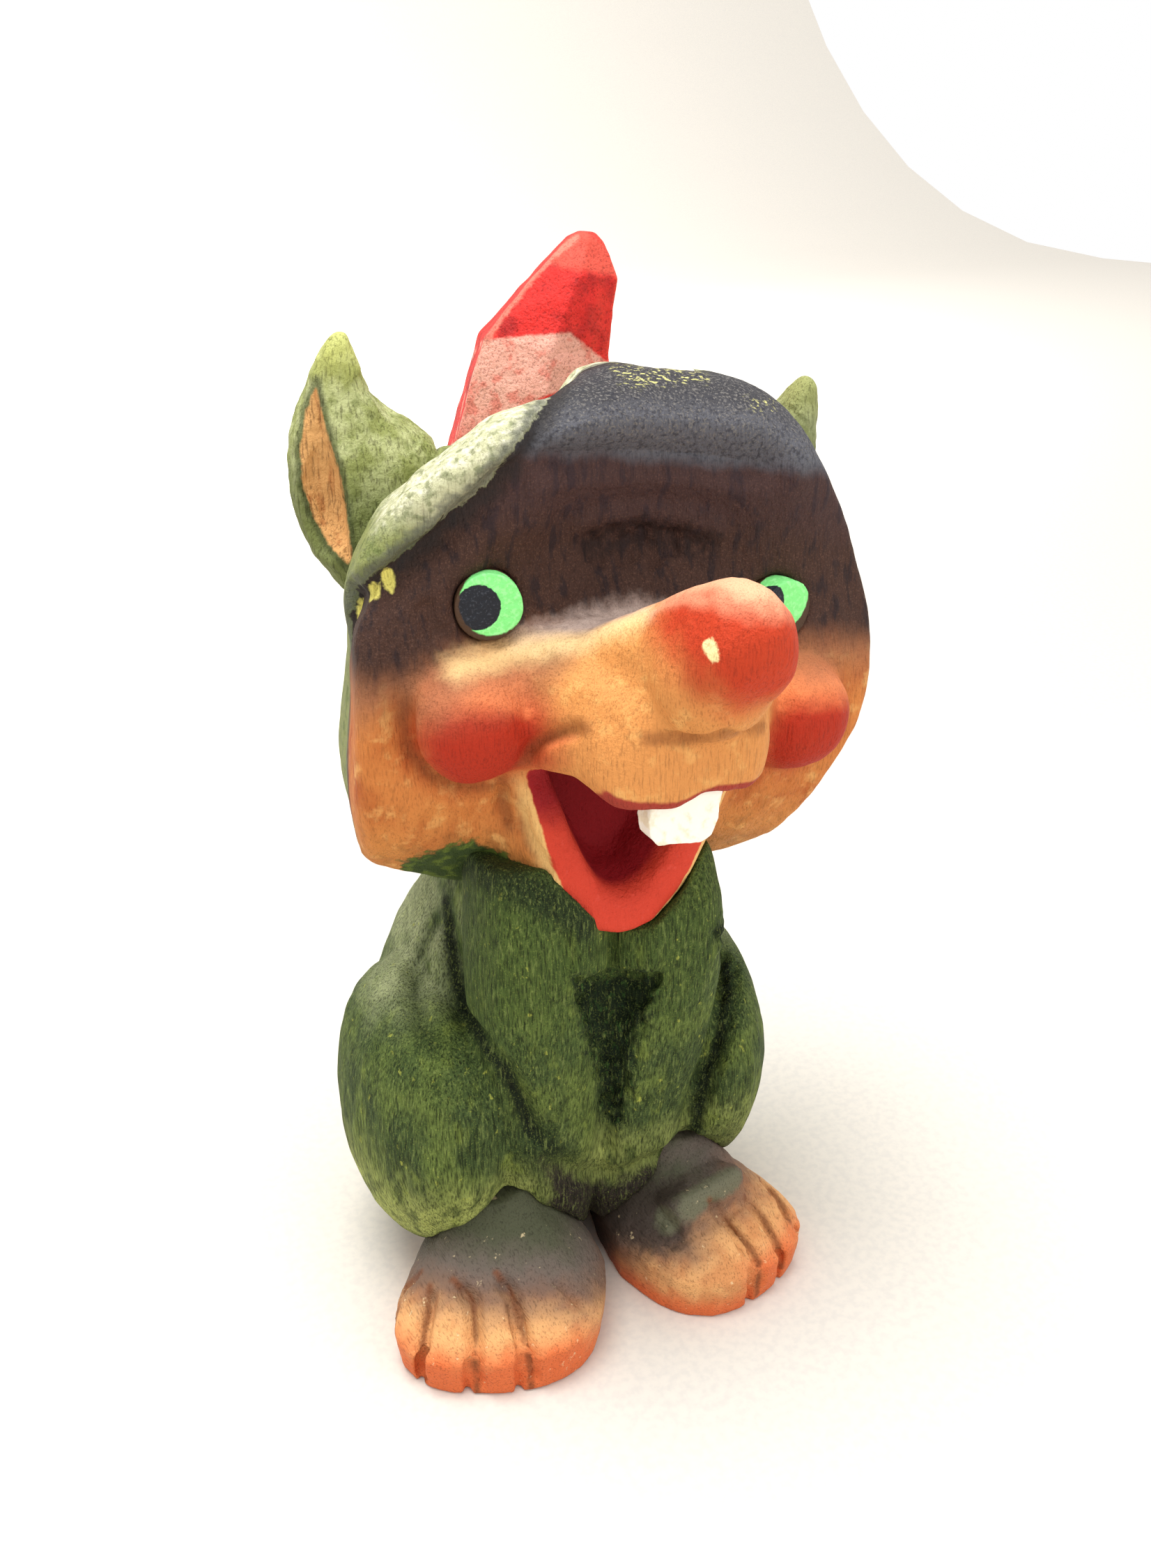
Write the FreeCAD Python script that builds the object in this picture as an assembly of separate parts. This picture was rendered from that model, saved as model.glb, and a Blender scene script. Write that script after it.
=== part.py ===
"""Hand-carved wooden troll with a pointed cap, squatting on two big bare feet.

The figure looks along -Y, +X is its own left side and +Z is up, in millimetres.
Every form is a loft skinned with flat facets, as a knife leaves them. The pieces of the head
are laid out upright over the neck and then lean together by head_tilt_deg.
A table of shares gives each station of a form as parts of the driving sizes next to it.
"""

import FreeCAD, Part
import math
import os
from FreeCAD import Vector

# The body block with its arms and haunches
body_height = 64.0
trunk_half_width = 24.0
trunk_half_depth = 20.0
trunk_back_shift = 8.5
arm_spread = 7.9
arm_half_width = 8.1
arm_half_depth = 8.4
arm_reach = 17.2
haunch_spread = 18.2
haunch_half_width = 10.5
haunch_half_depth = 17.4
haunch_half_height = 19.4
haunch_reach = 3.2
haunch_middle_height = 24.7
haunch_lean_deg = 16.0
recess_half_width = 7.4
recess_below_neck = 7.0
recess_height = 21.0
recess_depth = 5.0

# The head block, which the neck goes up into, and the ridge of its fringe
neck_in_head = 8.0
neck_height = body_height - neck_in_head
head_height = 61.2
head_half_width = 32.4
head_front = 20.2
head_back = 24.0
head_tilt_deg = 8.6
brow_dip = 3.2
rim_round = 4.0
ridge_shift = 4.0
head_top = neck_height + head_height

# The muzzle, nose and cheeks
muzzle_reach = 35.8
muzzle_half_width = 26.0
nose_reach = 44.4
nose_radius = 5.4
cheek_radius = 6.6
cheek_spread = 20.8
cheek_shift = 0.9
cheek_behind_front = 1.4
cheek_above_neck = 23.8

# The open mouth, its one tooth and the jaw
mouth_half_width = 13.4
mouth_lean = 3.3
mouth_depth = 8.3
jaw_reach = 21.5
jaw_depth = 11.5
tooth_width = 8.4
tooth_height = 9.0
tooth_thickness = 2.9
tooth_behind_lip = 1.7
tooth_in_lip = 2.8

# The round eye plugs
eye_radius = 3.6
eye_length = 7.0
eye_spread = 18.4
eye_behind_front = 0.8
eye_above_neck = 36.5
eye_turn_deg = 12.0

# The ears and the cap
ear_height = 27.5
ear_below_top = 27.9
ear_inside_head = 2.6
ear_root_length = 11.8
ear_back = 4.0
ear_half_width = 9.4
ear_half_depth = 7.0
ear_hollow_radius = 5.2
ear_hollow_height = 12.0
cap_above_head = 12.8
cap_radius = 15.5
cap_middle_back = 12.5
cap_seat_below_top = 19.7
cap_seat_deg = 25.0

# The feet
right_foot_spread = 28.2
left_foot_spread = 25.6
left_foot_shift = 1.6
left_foot_back = 1.2
foot_reach = 33.2
foot_height = 19.0
toe_height = 6.6
toe_fall = 4.5
feet_turn_deg = 3.0
groove_width = 3.0
groove_depth = 2.3

# Dowels and glue clearances
neck_dowel_radius = 4.0
neck_dowel_length = 22.0
cap_dowel_radius = 2.0
cap_dowel_length = 14.0
ankle_dowel_radius = 2.5
ankle_dowel_length = 14.0
glue_gap = 0.05
end_gap = 0.5

UP = Vector(0, 0, 1)
LEFT_HAND = Vector(1, 0, 0)
BACKWARD = Vector(0, 1, 0)
ZERO = Vector(0, 0, 0)
POLE_SHARE = 0.35
LIP_EDGE_SHARE = 0.346
ANKLE_SHARES = (0.42, 0.25)
NECK = Vector(0, 0, neck_height)
CAP_SEAT = Vector(0, cap_middle_back, head_top - cap_seat_below_top)


def curve_between(a, b, c, d, t):
    """The point at t between b and c on a smooth curve through four neighbours."""
    straight = (c - a) * t
    bend = (a * 2 - b * 5 + c * 4 - d) * t ** 2
    twist = (b * 3 - a - c * 3 + d) * t ** 3
    return (b * 2 + straight + bend + twist) * 0.5


def rounded(corners):
    """The closed outline through the corners, with one more point on the curve between each two."""
    count = len(corners)
    points = []
    for i in range(count):
        near = [corners[(i + k) % count] for k in (-1, 0, 1, 2)]
        points += [corners[i], curve_between(*near, 0.5)]
    return points


def closer(rings):
    """The rings with one more ring on the smooth curve between each two."""
    last = len(rings) - 1
    out = []
    for i in range(last):
        near = [rings[min(max(i + k, 0), last)] for k in (-1, 0, 1, 2)]
        out += [rings[i], [curve_between(*four, 0.5) for four in zip(*near)]]
    return out + [rings[last]]


def facet(points):
    return Part.Face(Part.makePolygon([*points, points[0]]))


def knife_cuts(low, high, core):
    """The flat facets between two rings, each pair folded along the ridge that stands out more."""
    facets = []
    for i in range(len(low)):
        a, b, c, d = low[i - 1], low[i], high[i], high[i - 1]
        out_ac = ((a + c) * 0.5).distanceToPoint(core)
        out_bd = ((b + d) * 0.5).distanceToPoint(core)
        cuts = ((a, b, c), (a, c, d)) if out_ac > out_bd else ((a, b, d), (b, c, d))
        facets += [facet(cut) for cut in cuts]
    return facets


def carved(rings):
    """A solid through rings of equal count, all its faces flat."""
    middles = [sum(ring, Vector()) * (1 / len(ring)) for ring in rings]
    facets = [facet(rings[0]), facet(rings[-1])]
    for k in range(len(rings) - 1):
        facets += knife_cuts(rings[k], rings[k + 1], (middles[k] + middles[k + 1]) * 0.5)
    solid = Part.makeSolid(Part.makeShell(facets))
    if solid.Volume < 0:
        solid.reverse()
    return solid


def level_ring(z, middle, half_x, half_y, square, count):
    """A level oval round a middle (x, y), squarer as square grows."""
    ring = []
    for i in range(count):
        turn = 2 * math.pi * (i + 0.5) / count
        c, s = math.cos(turn), math.sin(turn)
        reach = (abs(c) ** square + abs(s) ** square) ** (-1 / square)
        ring.append(Vector(middle[0] + half_x * reach * c, middle[1] + half_y * reach * s, z))
    return ring


def both_sides(half):
    """A ring from its half with x of zero or more, mirrored about the middle plane."""
    return half + [Vector(-p.x, p.y, p.z) for p in reversed(half) if p.x > 0]


def lobe(middle, radii, lean_deg, columns, rows, fullness=1.0):
    """A faceted ball with three radii, fuller towards its poles below a fullness of 1."""
    rings = []
    for k in range(rows + 1):
        turn = math.pi * (k + POLE_SHARE) / (rows + 2 * POLE_SHARE)
        wide = math.sin(turn) ** fullness
        z = -radii[2] * math.cos(turn)
        rings.append(level_ring(z, (0, 0), radii[0] * wide, radii[1] * wide, 2.1, columns))
    shape = carved(rings)
    shape.rotate(ZERO, LEFT_HAND, lean_deg)
    shape.translate(middle)
    return shape


def other_side(shape):
    return shape.mirror(ZERO, LEFT_HAND)


def leaned(shape):
    """A piece of the head, leaned from upright about the neck."""
    turned = shape.copy()
    turned.rotate(NECK, BACKWARD, head_tilt_deg)
    return turned


def half_space(point, normal, reach):
    """A large block that fills the side of a plane that its normal points to."""
    block = Part.makeBox(2 * reach, 2 * reach, reach, Vector(-reach, -reach, 0))
    block.Placement = FreeCAD.Placement(point, FreeCAD.Rotation(UP, normal))
    return block


def head_z(share):
    return neck_height + head_height * share


def hood_ring(shares):
    """A level ring of the hood: dipped brow, full front corners, sides that close in to the back."""
    height, wide, front, dip, corner, back_wide, back, shift = shares
    half_x = head_half_width * wide
    back_x = head_half_width * back_wide
    front_y = -head_front * front
    dip_y = brow_dip * dip
    corner_y = rim_round * corner
    back_y = head_back * back
    side_y = (front_y + corner_y + 0.55 * back_y) * 0.45
    half = [
        (0, front_y + dip_y),
        (0.34 * half_x, front_y + 0.55 * dip_y),
        (0.66 * half_x, front_y),
        (0.90 * half_x, front_y + 0.35 * corner_y),
        (half_x, front_y + corner_y),
        (0.43 * half_x + 0.58 * back_x, side_y),
        (back_x, 0.45 * back_y),
        (0.74 * back_x, 0.84 * back_y),
        (0.30 * back_x, back_y),
    ]
    ring = both_sides([Vector(x, y, head_z(height)) for x, y in half])
    return rounded([p + LEFT_HAND * ridge_shift * shift for p in ring])


def hood():
    """The head block: cheek flaps, eye band and the overhanging fringe with its ridge."""
    # height, half width, front, brow dip, corner, back half width, back, shift to the left side
    hood_shares = (
        (0.000, 0.49, 0.50, 0.00, 0.75, 0.46, 0.54, 0.05),
        (0.070, 0.79, 0.64, 0.00, 0.50, 0.65, 0.69, -0.15),
        (0.131, 0.855, 0.82, 0.00, 0.55, 0.71, 0.79, -0.20),
        (0.229, 0.92, 0.94, 0.06, 0.60, 0.74, 0.90, -0.12),
        (0.359, 0.98, 1.00, 0.09, 0.62, 0.75, 0.98, 0.14),
        (0.474, 1.00, 0.98, 0.25, 0.65, 0.76, 1.00, 0.19),
        (0.588, 0.985, 0.92, 0.62, 0.65, 0.75, 0.92, 0.06),
        (0.703, 0.905, 0.87, 1.00, 0.55, 0.69, 0.65, -0.10),
        (0.784, 0.80, 0.92, 0.81, 0.60, 0.62, 0.25, -0.08),
        (0.866, 0.645, 0.99, 0.31, 0.90, 0.52, -0.19, 0.10),
        (0.931, 0.49, 0.90, 0.19, 1.00, 0.35, -0.31, 0.75),
        (0.980, 0.34, 0.72, 0.09, 0.60, 0.25, -0.36, 0.95),
        (1.000, 0.22, 0.60, 0.00, 0.25, 0.15, -0.39, 1.00),
    )
    return carved(closer([hood_ring(shares) for shares in hood_shares]))


def upright_ring(reach, half_width, low_share, top_share, half_shares):
    """A ring that faces forward, from half an outline given in shares."""
    low = head_z(low_share)
    tall = head_z(top_share) - low
    return both_sides([Vector(half_width * x, -reach, low + tall * z) for x, z in half_shares])


def muzzle():
    """The upper jaw, broad between the cheeks and narrowing to the boxy lip."""
    outline_shares = (
        (0, 1.0), (0.30, 0.985), (0.62, 0.90), (0.88, 0.68), (1.0, 0.38), (0.97, 0.12), (0.86, 0), (0.4, 0), (0, 0),
    )
    # reach, half width, low edge, top edge
    muzzle_shares = (
        (0.28, 1.00, 0.261, 0.588),
        (0.47, 0.96, 0.286, 0.582),
        (0.59, 0.76, 0.314, 0.578),
        (0.70, 0.58, 0.332, 0.578),
        (0.82, 0.45, 0.340, 0.572),
        (0.93, 0.37, 0.342, 0.547),
        (0.98, 0.29, LIP_EDGE_SHARE, 0.526),
        (1.00, 0.18, 0.356, 0.498),
    )
    rings = [
        upright_ring(muzzle_reach * r, muzzle_half_width * w, low, top, outline_shares)
        for r, w, low, top in muzzle_shares
    ]
    return carved(closer(rings))


def nose():
    """The long upturned nose, from the bridge between the eyes to the round tip."""
    outline_shares = ((0, 1.0), (0.42, 0.94), (0.80, 0.77), (1.0, 0.50), (0.98, 0.24), (0.66, 0.05), (0, 0))
    # reach, half width, low edge, top edge
    nose_shares = (
        (0.180, 2.41, 0.327, 0.516),
        (0.338, 2.28, 0.359, 0.556),
        (0.473, 2.05, 0.417, 0.598),
        (0.586, 1.72, 0.450, 0.641),
        (0.698, 1.38, 0.475, 0.690),
        (0.800, 1.14, 0.495, 0.725),
        (0.883, 1.07, 0.515, 0.735),
        (0.946, 0.92, 0.546, 0.719),
        (0.986, 0.56, 0.590, 0.690),
        (1.000, 0.20, 0.625, 0.667),
    )
    rings = [
        upright_ring(nose_reach * r, nose_radius * w, low, top, outline_shares)
        for r, w, low, top in nose_shares
    ]
    return carved(closer(rings))


# The outline of the mouth's flat rim: half width, height
rim_shares = ((0.96, 0.359), (1.00, 0.302), (0.78, 0.172), (0.57, 0.072), (0.27, -0.003), (0, -0.016))


def mouth_ring(reach, lean, half_shares):
    """A ring across the jaw that leans forward towards the chin."""
    top = half_shares[0][1]
    half = [
        Vector(mouth_half_width * x, -reach - lean * (top - z) / top, head_z(z))
        for x, z in half_shares
    ]
    return both_sides(half)


def jaw():
    """The dropped lower jaw, from the throat to the flat rim of the mouth."""
    throat_shares = ((1.49, 0.359), (1.49, 0.294), (1.34, 0.163), (1.12, 0.072), (0.67, 0.016), (0, 0))
    middle_shares = [((a + c) * 0.5, (b + d) * 0.5) for (a, b), (c, d) in zip(rim_shares, throat_shares)]
    rim = mouth_ring(jaw_reach, mouth_lean, rim_shares)
    middle = mouth_ring(jaw_reach - 0.4 * jaw_depth, 0.6 * mouth_lean, middle_shares)
    throat = mouth_ring(jaw_reach - jaw_depth, 0, throat_shares)
    return carved([rim, middle, throat])


def before_the_mouth():
    """The air in front of the mouth's rim, which the chest keeps out of."""
    rim = mouth_ring(jaw_reach, mouth_lean, rim_shares)
    return carved([mouth_ring(jaw_reach + mouth_depth, mouth_lean, rim_shares), rim])


def mouth_hollow():
    """The hollow of the mouth behind the rim, up to the underside of the lip."""
    # half width, height
    front_shares = ((0.79, 0.352), (0.79, 0.319), (0.55, 0.206), (0.36, 0.127), (0.18, 0.075), (0, 0.065))
    back_shares = ((0.64, 0.352), (0.63, 0.319), (0.42, 0.222), (0.27, 0.154), (0.13, 0.111), (0, 0.105))
    outside = mouth_ring(jaw_reach + mouth_lean, mouth_lean, front_shares)
    front = mouth_ring(jaw_reach - 0.2 * mouth_lean, mouth_lean, front_shares)
    back = mouth_ring(jaw_reach + 0.2 * mouth_lean - mouth_depth, 0.6 * mouth_lean, back_shares)
    return carved([outside, front, back])


def cheek(side):
    """A round cheek, on the left for a side of 1 and on the right for a side of -1."""
    radii = (0.96 * cheek_radius, 0.88 * cheek_radius, cheek_radius)
    x = side * cheek_spread + cheek_shift
    middle = Vector(x, cheek_behind_front - head_front, neck_height + cheek_above_neck)
    return lobe(middle, radii, 0, 14, 8)


def head_full():
    """The head before anything is hollowed out or let in."""
    shape = hood()
    for piece in (muzzle(), nose(), cheek(1), cheek(-1), jaw()):
        shape = shape.fuse(piece)
    return shape


def cap():
    """The pointed cap, six-sided and bent forward to its tip."""
    # drop below the tip as a share of its height over the neck, side, back, half width, half depth, turn
    cap_top = head_top + cap_above_head
    cap_full_height = cap_top - neck_height
    cap_shares = (
        (0.568, -0.065, 1.00, 1.00, 0.87, 14),
        (0.176, -0.129, 0.92, 0.56, 0.53, 14),
        (0.064, 0.039, 0.78, 0.34, 0.37, 8),
        (0.011, 0.065, 0.75, 0.155, 0.168, 8),
        (0.000, 0.065, 0.74, 0.065, 0.077, 8),
    )
    rings = []
    for drop, side, back, wide, deep, turn_deg in cap_shares:
        ring = []
        for i in range(6):
            turn = math.radians(turn_deg + 60 * i)
            x = cap_radius * (side + wide * math.cos(turn))
            y = cap_middle_back * back + cap_radius * deep * math.sin(turn)
            ring.append(Vector(x, y, cap_top - cap_full_height * drop))
        rings.append(ring)
    seat_turn = math.radians(cap_seat_deg)
    seat_normal = Vector(0, math.sin(seat_turn), math.cos(seat_turn))
    return carved(rings).common(half_space(CAP_SEAT, seat_normal, cap_top))


def ear():
    """The left ear, a leaf that sweeps up out of the crown, scooped on its outer front."""
    # height, side, back, half width, half depth
    ear_shares = (
        (0.00, 0.856, -0.25, 0.28, 0.43),
        (0.12, 0.896, 0.00, 0.49, 0.77),
        (0.28, 0.879, 0.45, 0.77, 0.94),
        (0.46, 0.832, 0.85, 1.00, 1.00),
        (0.61, 0.869, 1.00, 0.85, 0.89),
        (0.75, 0.933, 0.90, 0.55, 0.69),
        (0.88, 0.980, 0.70, 0.31, 0.46),
        (0.97, 1.000, 0.50, 0.13, 0.23),
        (1.00, 1.000, 0.45, 0.05, 0.10),
    )
    ear_low = head_top - ear_below_top
    ear_spread = head_half_width - ear_inside_head
    rings = [
        level_ring(
            ear_low + ear_height * height,
            (ear_spread * side, ear_back * back),
            ear_half_width * wide,
            ear_half_depth * deep,
            2.2,
            14,
        )
        for height, side, back, wide, deep in ear_shares
    ]
    hollow_middle = Vector(1.15 * ear_spread, -1.05 * ear_back, ear_low + 0.44 * ear_height)
    hollow = lobe(hollow_middle, (ear_hollow_radius, ear_hollow_radius, ear_hollow_height), 6, 12, 8)
    seat = half_space(Vector(ear_spread - ear_root_length, 0, ear_low), LEFT_HAND, head_top)
    return carved(closer(rings)).common(seat).cut(hollow)


def eye():
    """The left eye, a slice of round rod let into the face."""
    turn = math.radians(eye_turn_deg)
    into_head = Vector(-math.sin(turn), math.cos(turn), 0)
    middle = Vector(eye_spread, eye_behind_front - head_front, neck_height + eye_above_neck)
    return Part.makeCylinder(eye_radius, eye_length, middle, into_head)


def tooth():
    """The single broad tooth, its lower corners rounded off and its root up in the lip."""
    outline_shares = ((0, 1.0), (1.0, 1.0), (1.0, 0.30), (0.88, 0.10), (0.62, 0), (0, 0))
    top = LIP_EDGE_SHARE + tooth_in_lip / head_height
    low = top - tooth_height / head_height
    reach = muzzle_reach - tooth_behind_lip
    front = upright_ring(reach, tooth_width / 2, low, top, outline_shares)
    back = upright_ring(reach - tooth_thickness, tooth_width / 2, low, top, outline_shares)
    return carved([front, back])


def toe_groove(top, edge, low, width):
    """A tapering notch between two toes, from the instep over the toe's edge to the sole."""
    forward = Vector(edge.x - top.x, edge.y - top.y, 0)
    forward.normalize()
    side = Vector(-forward.y, forward.x, 0) * (width / 2)
    clear = UP * groove_depth
    outer = [top + clear, edge + forward * groove_depth + clear, low + forward * 2 * groove_depth]
    keel_edge = edge - (forward + UP) * groove_depth * 0.7
    keel = [top + forward * 0.2 * groove_depth, keel_edge, low - forward * 0.5 * groove_depth]
    return carved([[out + side, out - side, deep] for out, deep in zip(outer, keel)])


def foot(spread):
    """A foot with its flat sole and five toes, turned out to the left side."""
    # side, reach
    sole_shares = (
        (0.035, 0.571), (0.071, 0.730), (0.191, 0.914), (0.376, 1.000), (0.582, 0.991), (0.773, 0.933),
        (0.930, 0.850), (1.005, 0.720), (0.975, 0.571), (0.850, 0.400), (0.700, 0.220), (0.510, 0.031),
        (0.284, 0.031), (0.085, 0.245),
    )
    # height up to the toes' edge, height from there up to the ankle, size of the outline, side and reach
    # of its middle
    level_shares = (
        (0.00, 0.00, 0.985, 0.50, 0.43),
        (0.52, 0.00, 1.02, 0.50, 0.43),
        (1.00, 0.00, 1.04, 0.50, 0.43),
        (1.00, 0.15, 0.96, 0.48, 0.41),
        (1.00, 0.36, 0.78, 0.45, 0.38),
        (1.00, 0.53, 0.62, ANKLE_SHARES[0], 0.34),
        (1.00, 0.75, 0.48, ANKLE_SHARES[0], 0.28),
        (1.00, 1.00, 0.40, *ANKLE_SHARES),
    )
    sole = rounded([Vector(spread * x, -foot_reach * y, 0) for x, y in sole_shares])
    rings = []
    for below, above, size, x, y in level_shares:
        height = toe_height * below + (foot_height - toe_height) * above
        fall = toe_fall * height / foot_height
        middle = Vector(spread * x, -foot_reach * y, 0)
        outline = [middle + (p - middle) * size for p in sole]
        rings.append([p + UP * (height - fall * p.x / spread) for p in outline])
    shape = carved(rings)
    # ends of each groove as side and reach: on the instep, over the toe's edge, on the sole
    groove_shares = (
        ((0.525, 0.755), (0.571, 1.010), (0.574, 0.955), 1.0),
        ((0.706, 0.748), (0.787, 0.970), (0.780, 0.890), 1.0),
        ((0.844, 0.706), (0.950, 0.850), (0.947, 0.780), 0.85),
        ((0.920, 0.600), (1.040, 0.660), (1.020, 0.580), 0.7),
    )
    heights = (0.6 * foot_height, 1.15 * toe_height, -0.1 * toe_height)
    for *ends, width in groove_shares:
        points = [Vector(spread * x, -foot_reach * y, z) for (x, y), z in zip(ends, heights)]
        shape = shape.cut(toe_groove(*points, groove_width * width))
    return shape


def trunk():
    """The trunk, from the flat seat up into the neck."""
    # height, shift back, half width, half depth
    trunk_shares = (
        (0.00, 1.00, 0.58, 0.47),
        (0.08, 0.88, 0.83, 0.70),
        (0.19, 0.65, 0.96, 0.90),
        (0.34, 0.47, 1.00, 1.00),
        (0.53, 0.29, 0.92, 0.97),
        (0.69, 0.06, 0.77, 0.93),
        (0.81, -0.24, 0.62, 0.82),
        (0.91, -0.42, 0.54, 0.73),
        (1.00, -0.47, 0.52, 0.68),
    )
    rings = [
        level_ring(
            body_height * height,
            (0, trunk_back_shift * back),
            trunk_half_width * wide,
            trunk_half_depth * deep,
            2.3,
            24,
        )
        for height, back, wide, deep in trunk_shares
    ]
    return carved(closer(rings))


def arm():
    """The left arm, straight down the front from the shoulder to the paw between the feet."""
    # height, spread, reach, half width, half depth
    arm_shares = (
        (0.11, 0.66, 0.72, 0.60, 0.60),
        (0.19, 0.70, 0.75, 0.70, 0.69),
        (0.34, 0.80, 0.80, 0.83, 0.76),
        (0.50, 0.88, 0.89, 0.91, 0.82),
        (0.66, 0.97, 0.97, 0.99, 0.88),
        (0.78, 1.00, 1.00, 1.00, 0.95),
        (0.89, 0.95, 0.99, 0.96, 1.00),
        (0.98, 0.92, 0.87, 0.92, 0.95),
    )
    rings = [
        level_ring(
            body_height * height,
            (arm_spread * spread, -arm_reach * reach),
            arm_half_width * wide,
            arm_half_depth * deep,
            3.0,
            14,
        )
        for height, spread, reach, wide, deep in arm_shares
    ]
    return carved(closer(rings))


def haunch():
    """The left haunch, a full lobe that leans back along the trunk."""
    middle = Vector(haunch_spread, -haunch_reach, haunch_middle_height)
    radii = (haunch_half_width, haunch_half_depth, haunch_half_height)
    return lobe(middle, radii, haunch_lean_deg, 22, 12, 0.78)


def recess():
    """The pointed notch in the chest where the two arms part."""
    front_y = -arm_reach - arm_half_depth
    recess_top = neck_height - recess_below_neck
    # half width, height below the top
    outline_shares = ((1.0, 0), (0, 1.0))
    rings = []
    for y, size in ((front_y - recess_depth, 1.0), (front_y + recess_depth, 0.6)):
        half = [
            Vector(recess_half_width * size * x, y, recess_top - recess_height * size * z)
            for x, z in outline_shares
        ]
        rings.append(both_sides(half))
    return carved(rings)


def body_full():
    shape = trunk()
    for side in (arm(), haunch()):
        shape = shape.fuse(side)
        shape = shape.fuse(other_side(side))
    return shape.cut(recess())


def dowel(middle, radius, length):
    """A dowel upright about its middle, and the hole for it with its glue clearance."""
    pin = Part.makeCylinder(radius, length, middle - UP * (length / 2))
    hole_low = middle - UP * (length / 2 + end_gap)
    hole = Part.makeCylinder(radius + glue_gap, length + 2 * end_gap, hole_low)
    return pin, hole


def troll():
    """Every piece by name, with the pockets and holes that take its neighbours."""
    head = head_full()
    body = body_full().cut(leaned(head)).cut(leaned(before_the_mouth()))
    feet = {"left": foot(left_foot_spread), "right": other_side(foot(right_foot_spread))}
    ears = {"left": ear(), "right": other_side(ear())}
    eyes = {"left": eye(), "right": other_side(eye())}
    pieces = {"cap": cap(), "tooth": tooth()}

    left_foot_place = Vector(left_foot_shift, left_foot_back, 0)
    left_ankle = Vector(left_foot_spread * ANKLE_SHARES[0], -foot_reach * ANKLE_SHARES[1], foot_height)
    right_ankle = Vector(-right_foot_spread * ANKLE_SHARES[0], left_ankle.y, foot_height)
    ankles = {"left": left_ankle + left_foot_place, "right": right_ankle}
    feet["left"].translate(left_foot_place)
    ankle_pins, ankle_holes = {}, {}
    for side, ankle in ankles.items():
        feet[side].rotate(ankle, UP, -feet_turn_deg)
        ankle_pins[side], ankle_holes[side] = dowel(ankle, ankle_dowel_radius, ankle_dowel_length)
    neck_pin, neck_hole = dowel(NECK, neck_dowel_radius, neck_dowel_length)
    cap_pin, cap_hole = dowel(CAP_SEAT, cap_dowel_radius, cap_dowel_length)

    head = head.cut(mouth_hollow())
    for piece in (*ears.values(), *eyes.values(), *pieces.values(), cap_hole):
        head = head.cut(piece)
    for side in ("left", "right"):
        body = body.cut(feet[side]).cut(ankle_holes[side])
    pieces["cap"] = pieces["cap"].cut(cap_hole)

    made = {"body": body.cut(neck_hole), "head": leaned(head).cut(neck_hole)}
    for name, piece in pieces.items():
        made[name] = leaned(piece)
    for side in ("left", "right"):
        made["ear_" + side] = leaned(ears[side])
        made["eye_" + side] = leaned(eyes[side])
        made["foot_" + side] = feet[side].cut(ankle_holes[side])
        made["ankle_dowel_" + side] = ankle_pins[side]
    made["neck_dowel"] = neck_pin
    made["cap_dowel"] = leaned(cap_pin)
    return made


def one_solid(shape):
    """The shape as a single solid, without the crumbs that a cut may leave."""
    return max(shape.Solids, key=lambda solid: solid.Volume)


def main():
    os.makedirs("parts", exist_ok=True)
    pieces = {name: one_solid(shape) for name, shape in troll().items()}
    box = Part.makeCompound(list(pieces.values())).optimalBoundingBox(False)
    to_origin = Vector(-box.Center.x, -box.Center.y, -box.ZMin)
    for name, solid in pieces.items():
        solid.translate(to_origin)
        solid.exportStep("parts/" + name + ".step")
    print("size", round(box.XLength, 2), round(box.YLength, 2), round(box.ZLength, 2))
    print("moved", to_origin)


main()
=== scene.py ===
import math

import bpy
import numpy as np
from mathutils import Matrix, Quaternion, Vector, noise
from mathutils.bvhtree import BVHTree


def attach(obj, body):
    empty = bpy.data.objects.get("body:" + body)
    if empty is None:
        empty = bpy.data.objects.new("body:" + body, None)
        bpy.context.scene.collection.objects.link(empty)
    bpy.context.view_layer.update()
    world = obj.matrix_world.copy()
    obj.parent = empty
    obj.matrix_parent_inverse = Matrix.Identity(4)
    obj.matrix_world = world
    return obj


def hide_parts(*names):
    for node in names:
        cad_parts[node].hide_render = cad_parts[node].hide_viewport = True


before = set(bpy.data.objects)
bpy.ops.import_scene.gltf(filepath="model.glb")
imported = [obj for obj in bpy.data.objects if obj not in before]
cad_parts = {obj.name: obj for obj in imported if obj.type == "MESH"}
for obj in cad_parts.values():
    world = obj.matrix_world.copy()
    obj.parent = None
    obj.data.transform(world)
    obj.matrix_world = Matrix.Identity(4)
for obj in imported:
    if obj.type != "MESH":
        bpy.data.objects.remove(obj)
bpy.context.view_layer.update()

# Everything is in millimetres here and turns into metres where a mesh is written.
MM = 0.001

# The head is laid out upright over the neck and leans about this point.
NECK = np.array([-5.57, 9.87, 56.0])
HEAD_LEAN = math.radians(8.6)

# Camera, light and table

PHOTO_WIDTH = 1652
PHOTO_HEIGHT = 2250
LENS_PIXELS = 2093.3
PIXELS_PER_MM = 14.3
SENSOR = 36
VIEW_TARGET = Vector((-6.30, -4.03, 70.27))
VIEW_DISTANCE = 170.09
VIEW_TURN = math.radians(-24.25)
VIEW_RISE = math.radians(24.15)
VIEW_ROLL = math.radians(-0.75)
VIEW_BACK = Vector((
    math.sin(VIEW_TURN) * math.cos(VIEW_RISE),
    -math.cos(VIEW_TURN) * math.cos(VIEW_RISE),
    math.sin(VIEW_RISE),
))
EYE_POINT = VIEW_TARGET + VIEW_BACK * VIEW_DISTANCE
EYE_TURN = VIEW_BACK.to_track_quat("Z", "Y") @ Quaternion((0, 0, 1), VIEW_ROLL)

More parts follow.
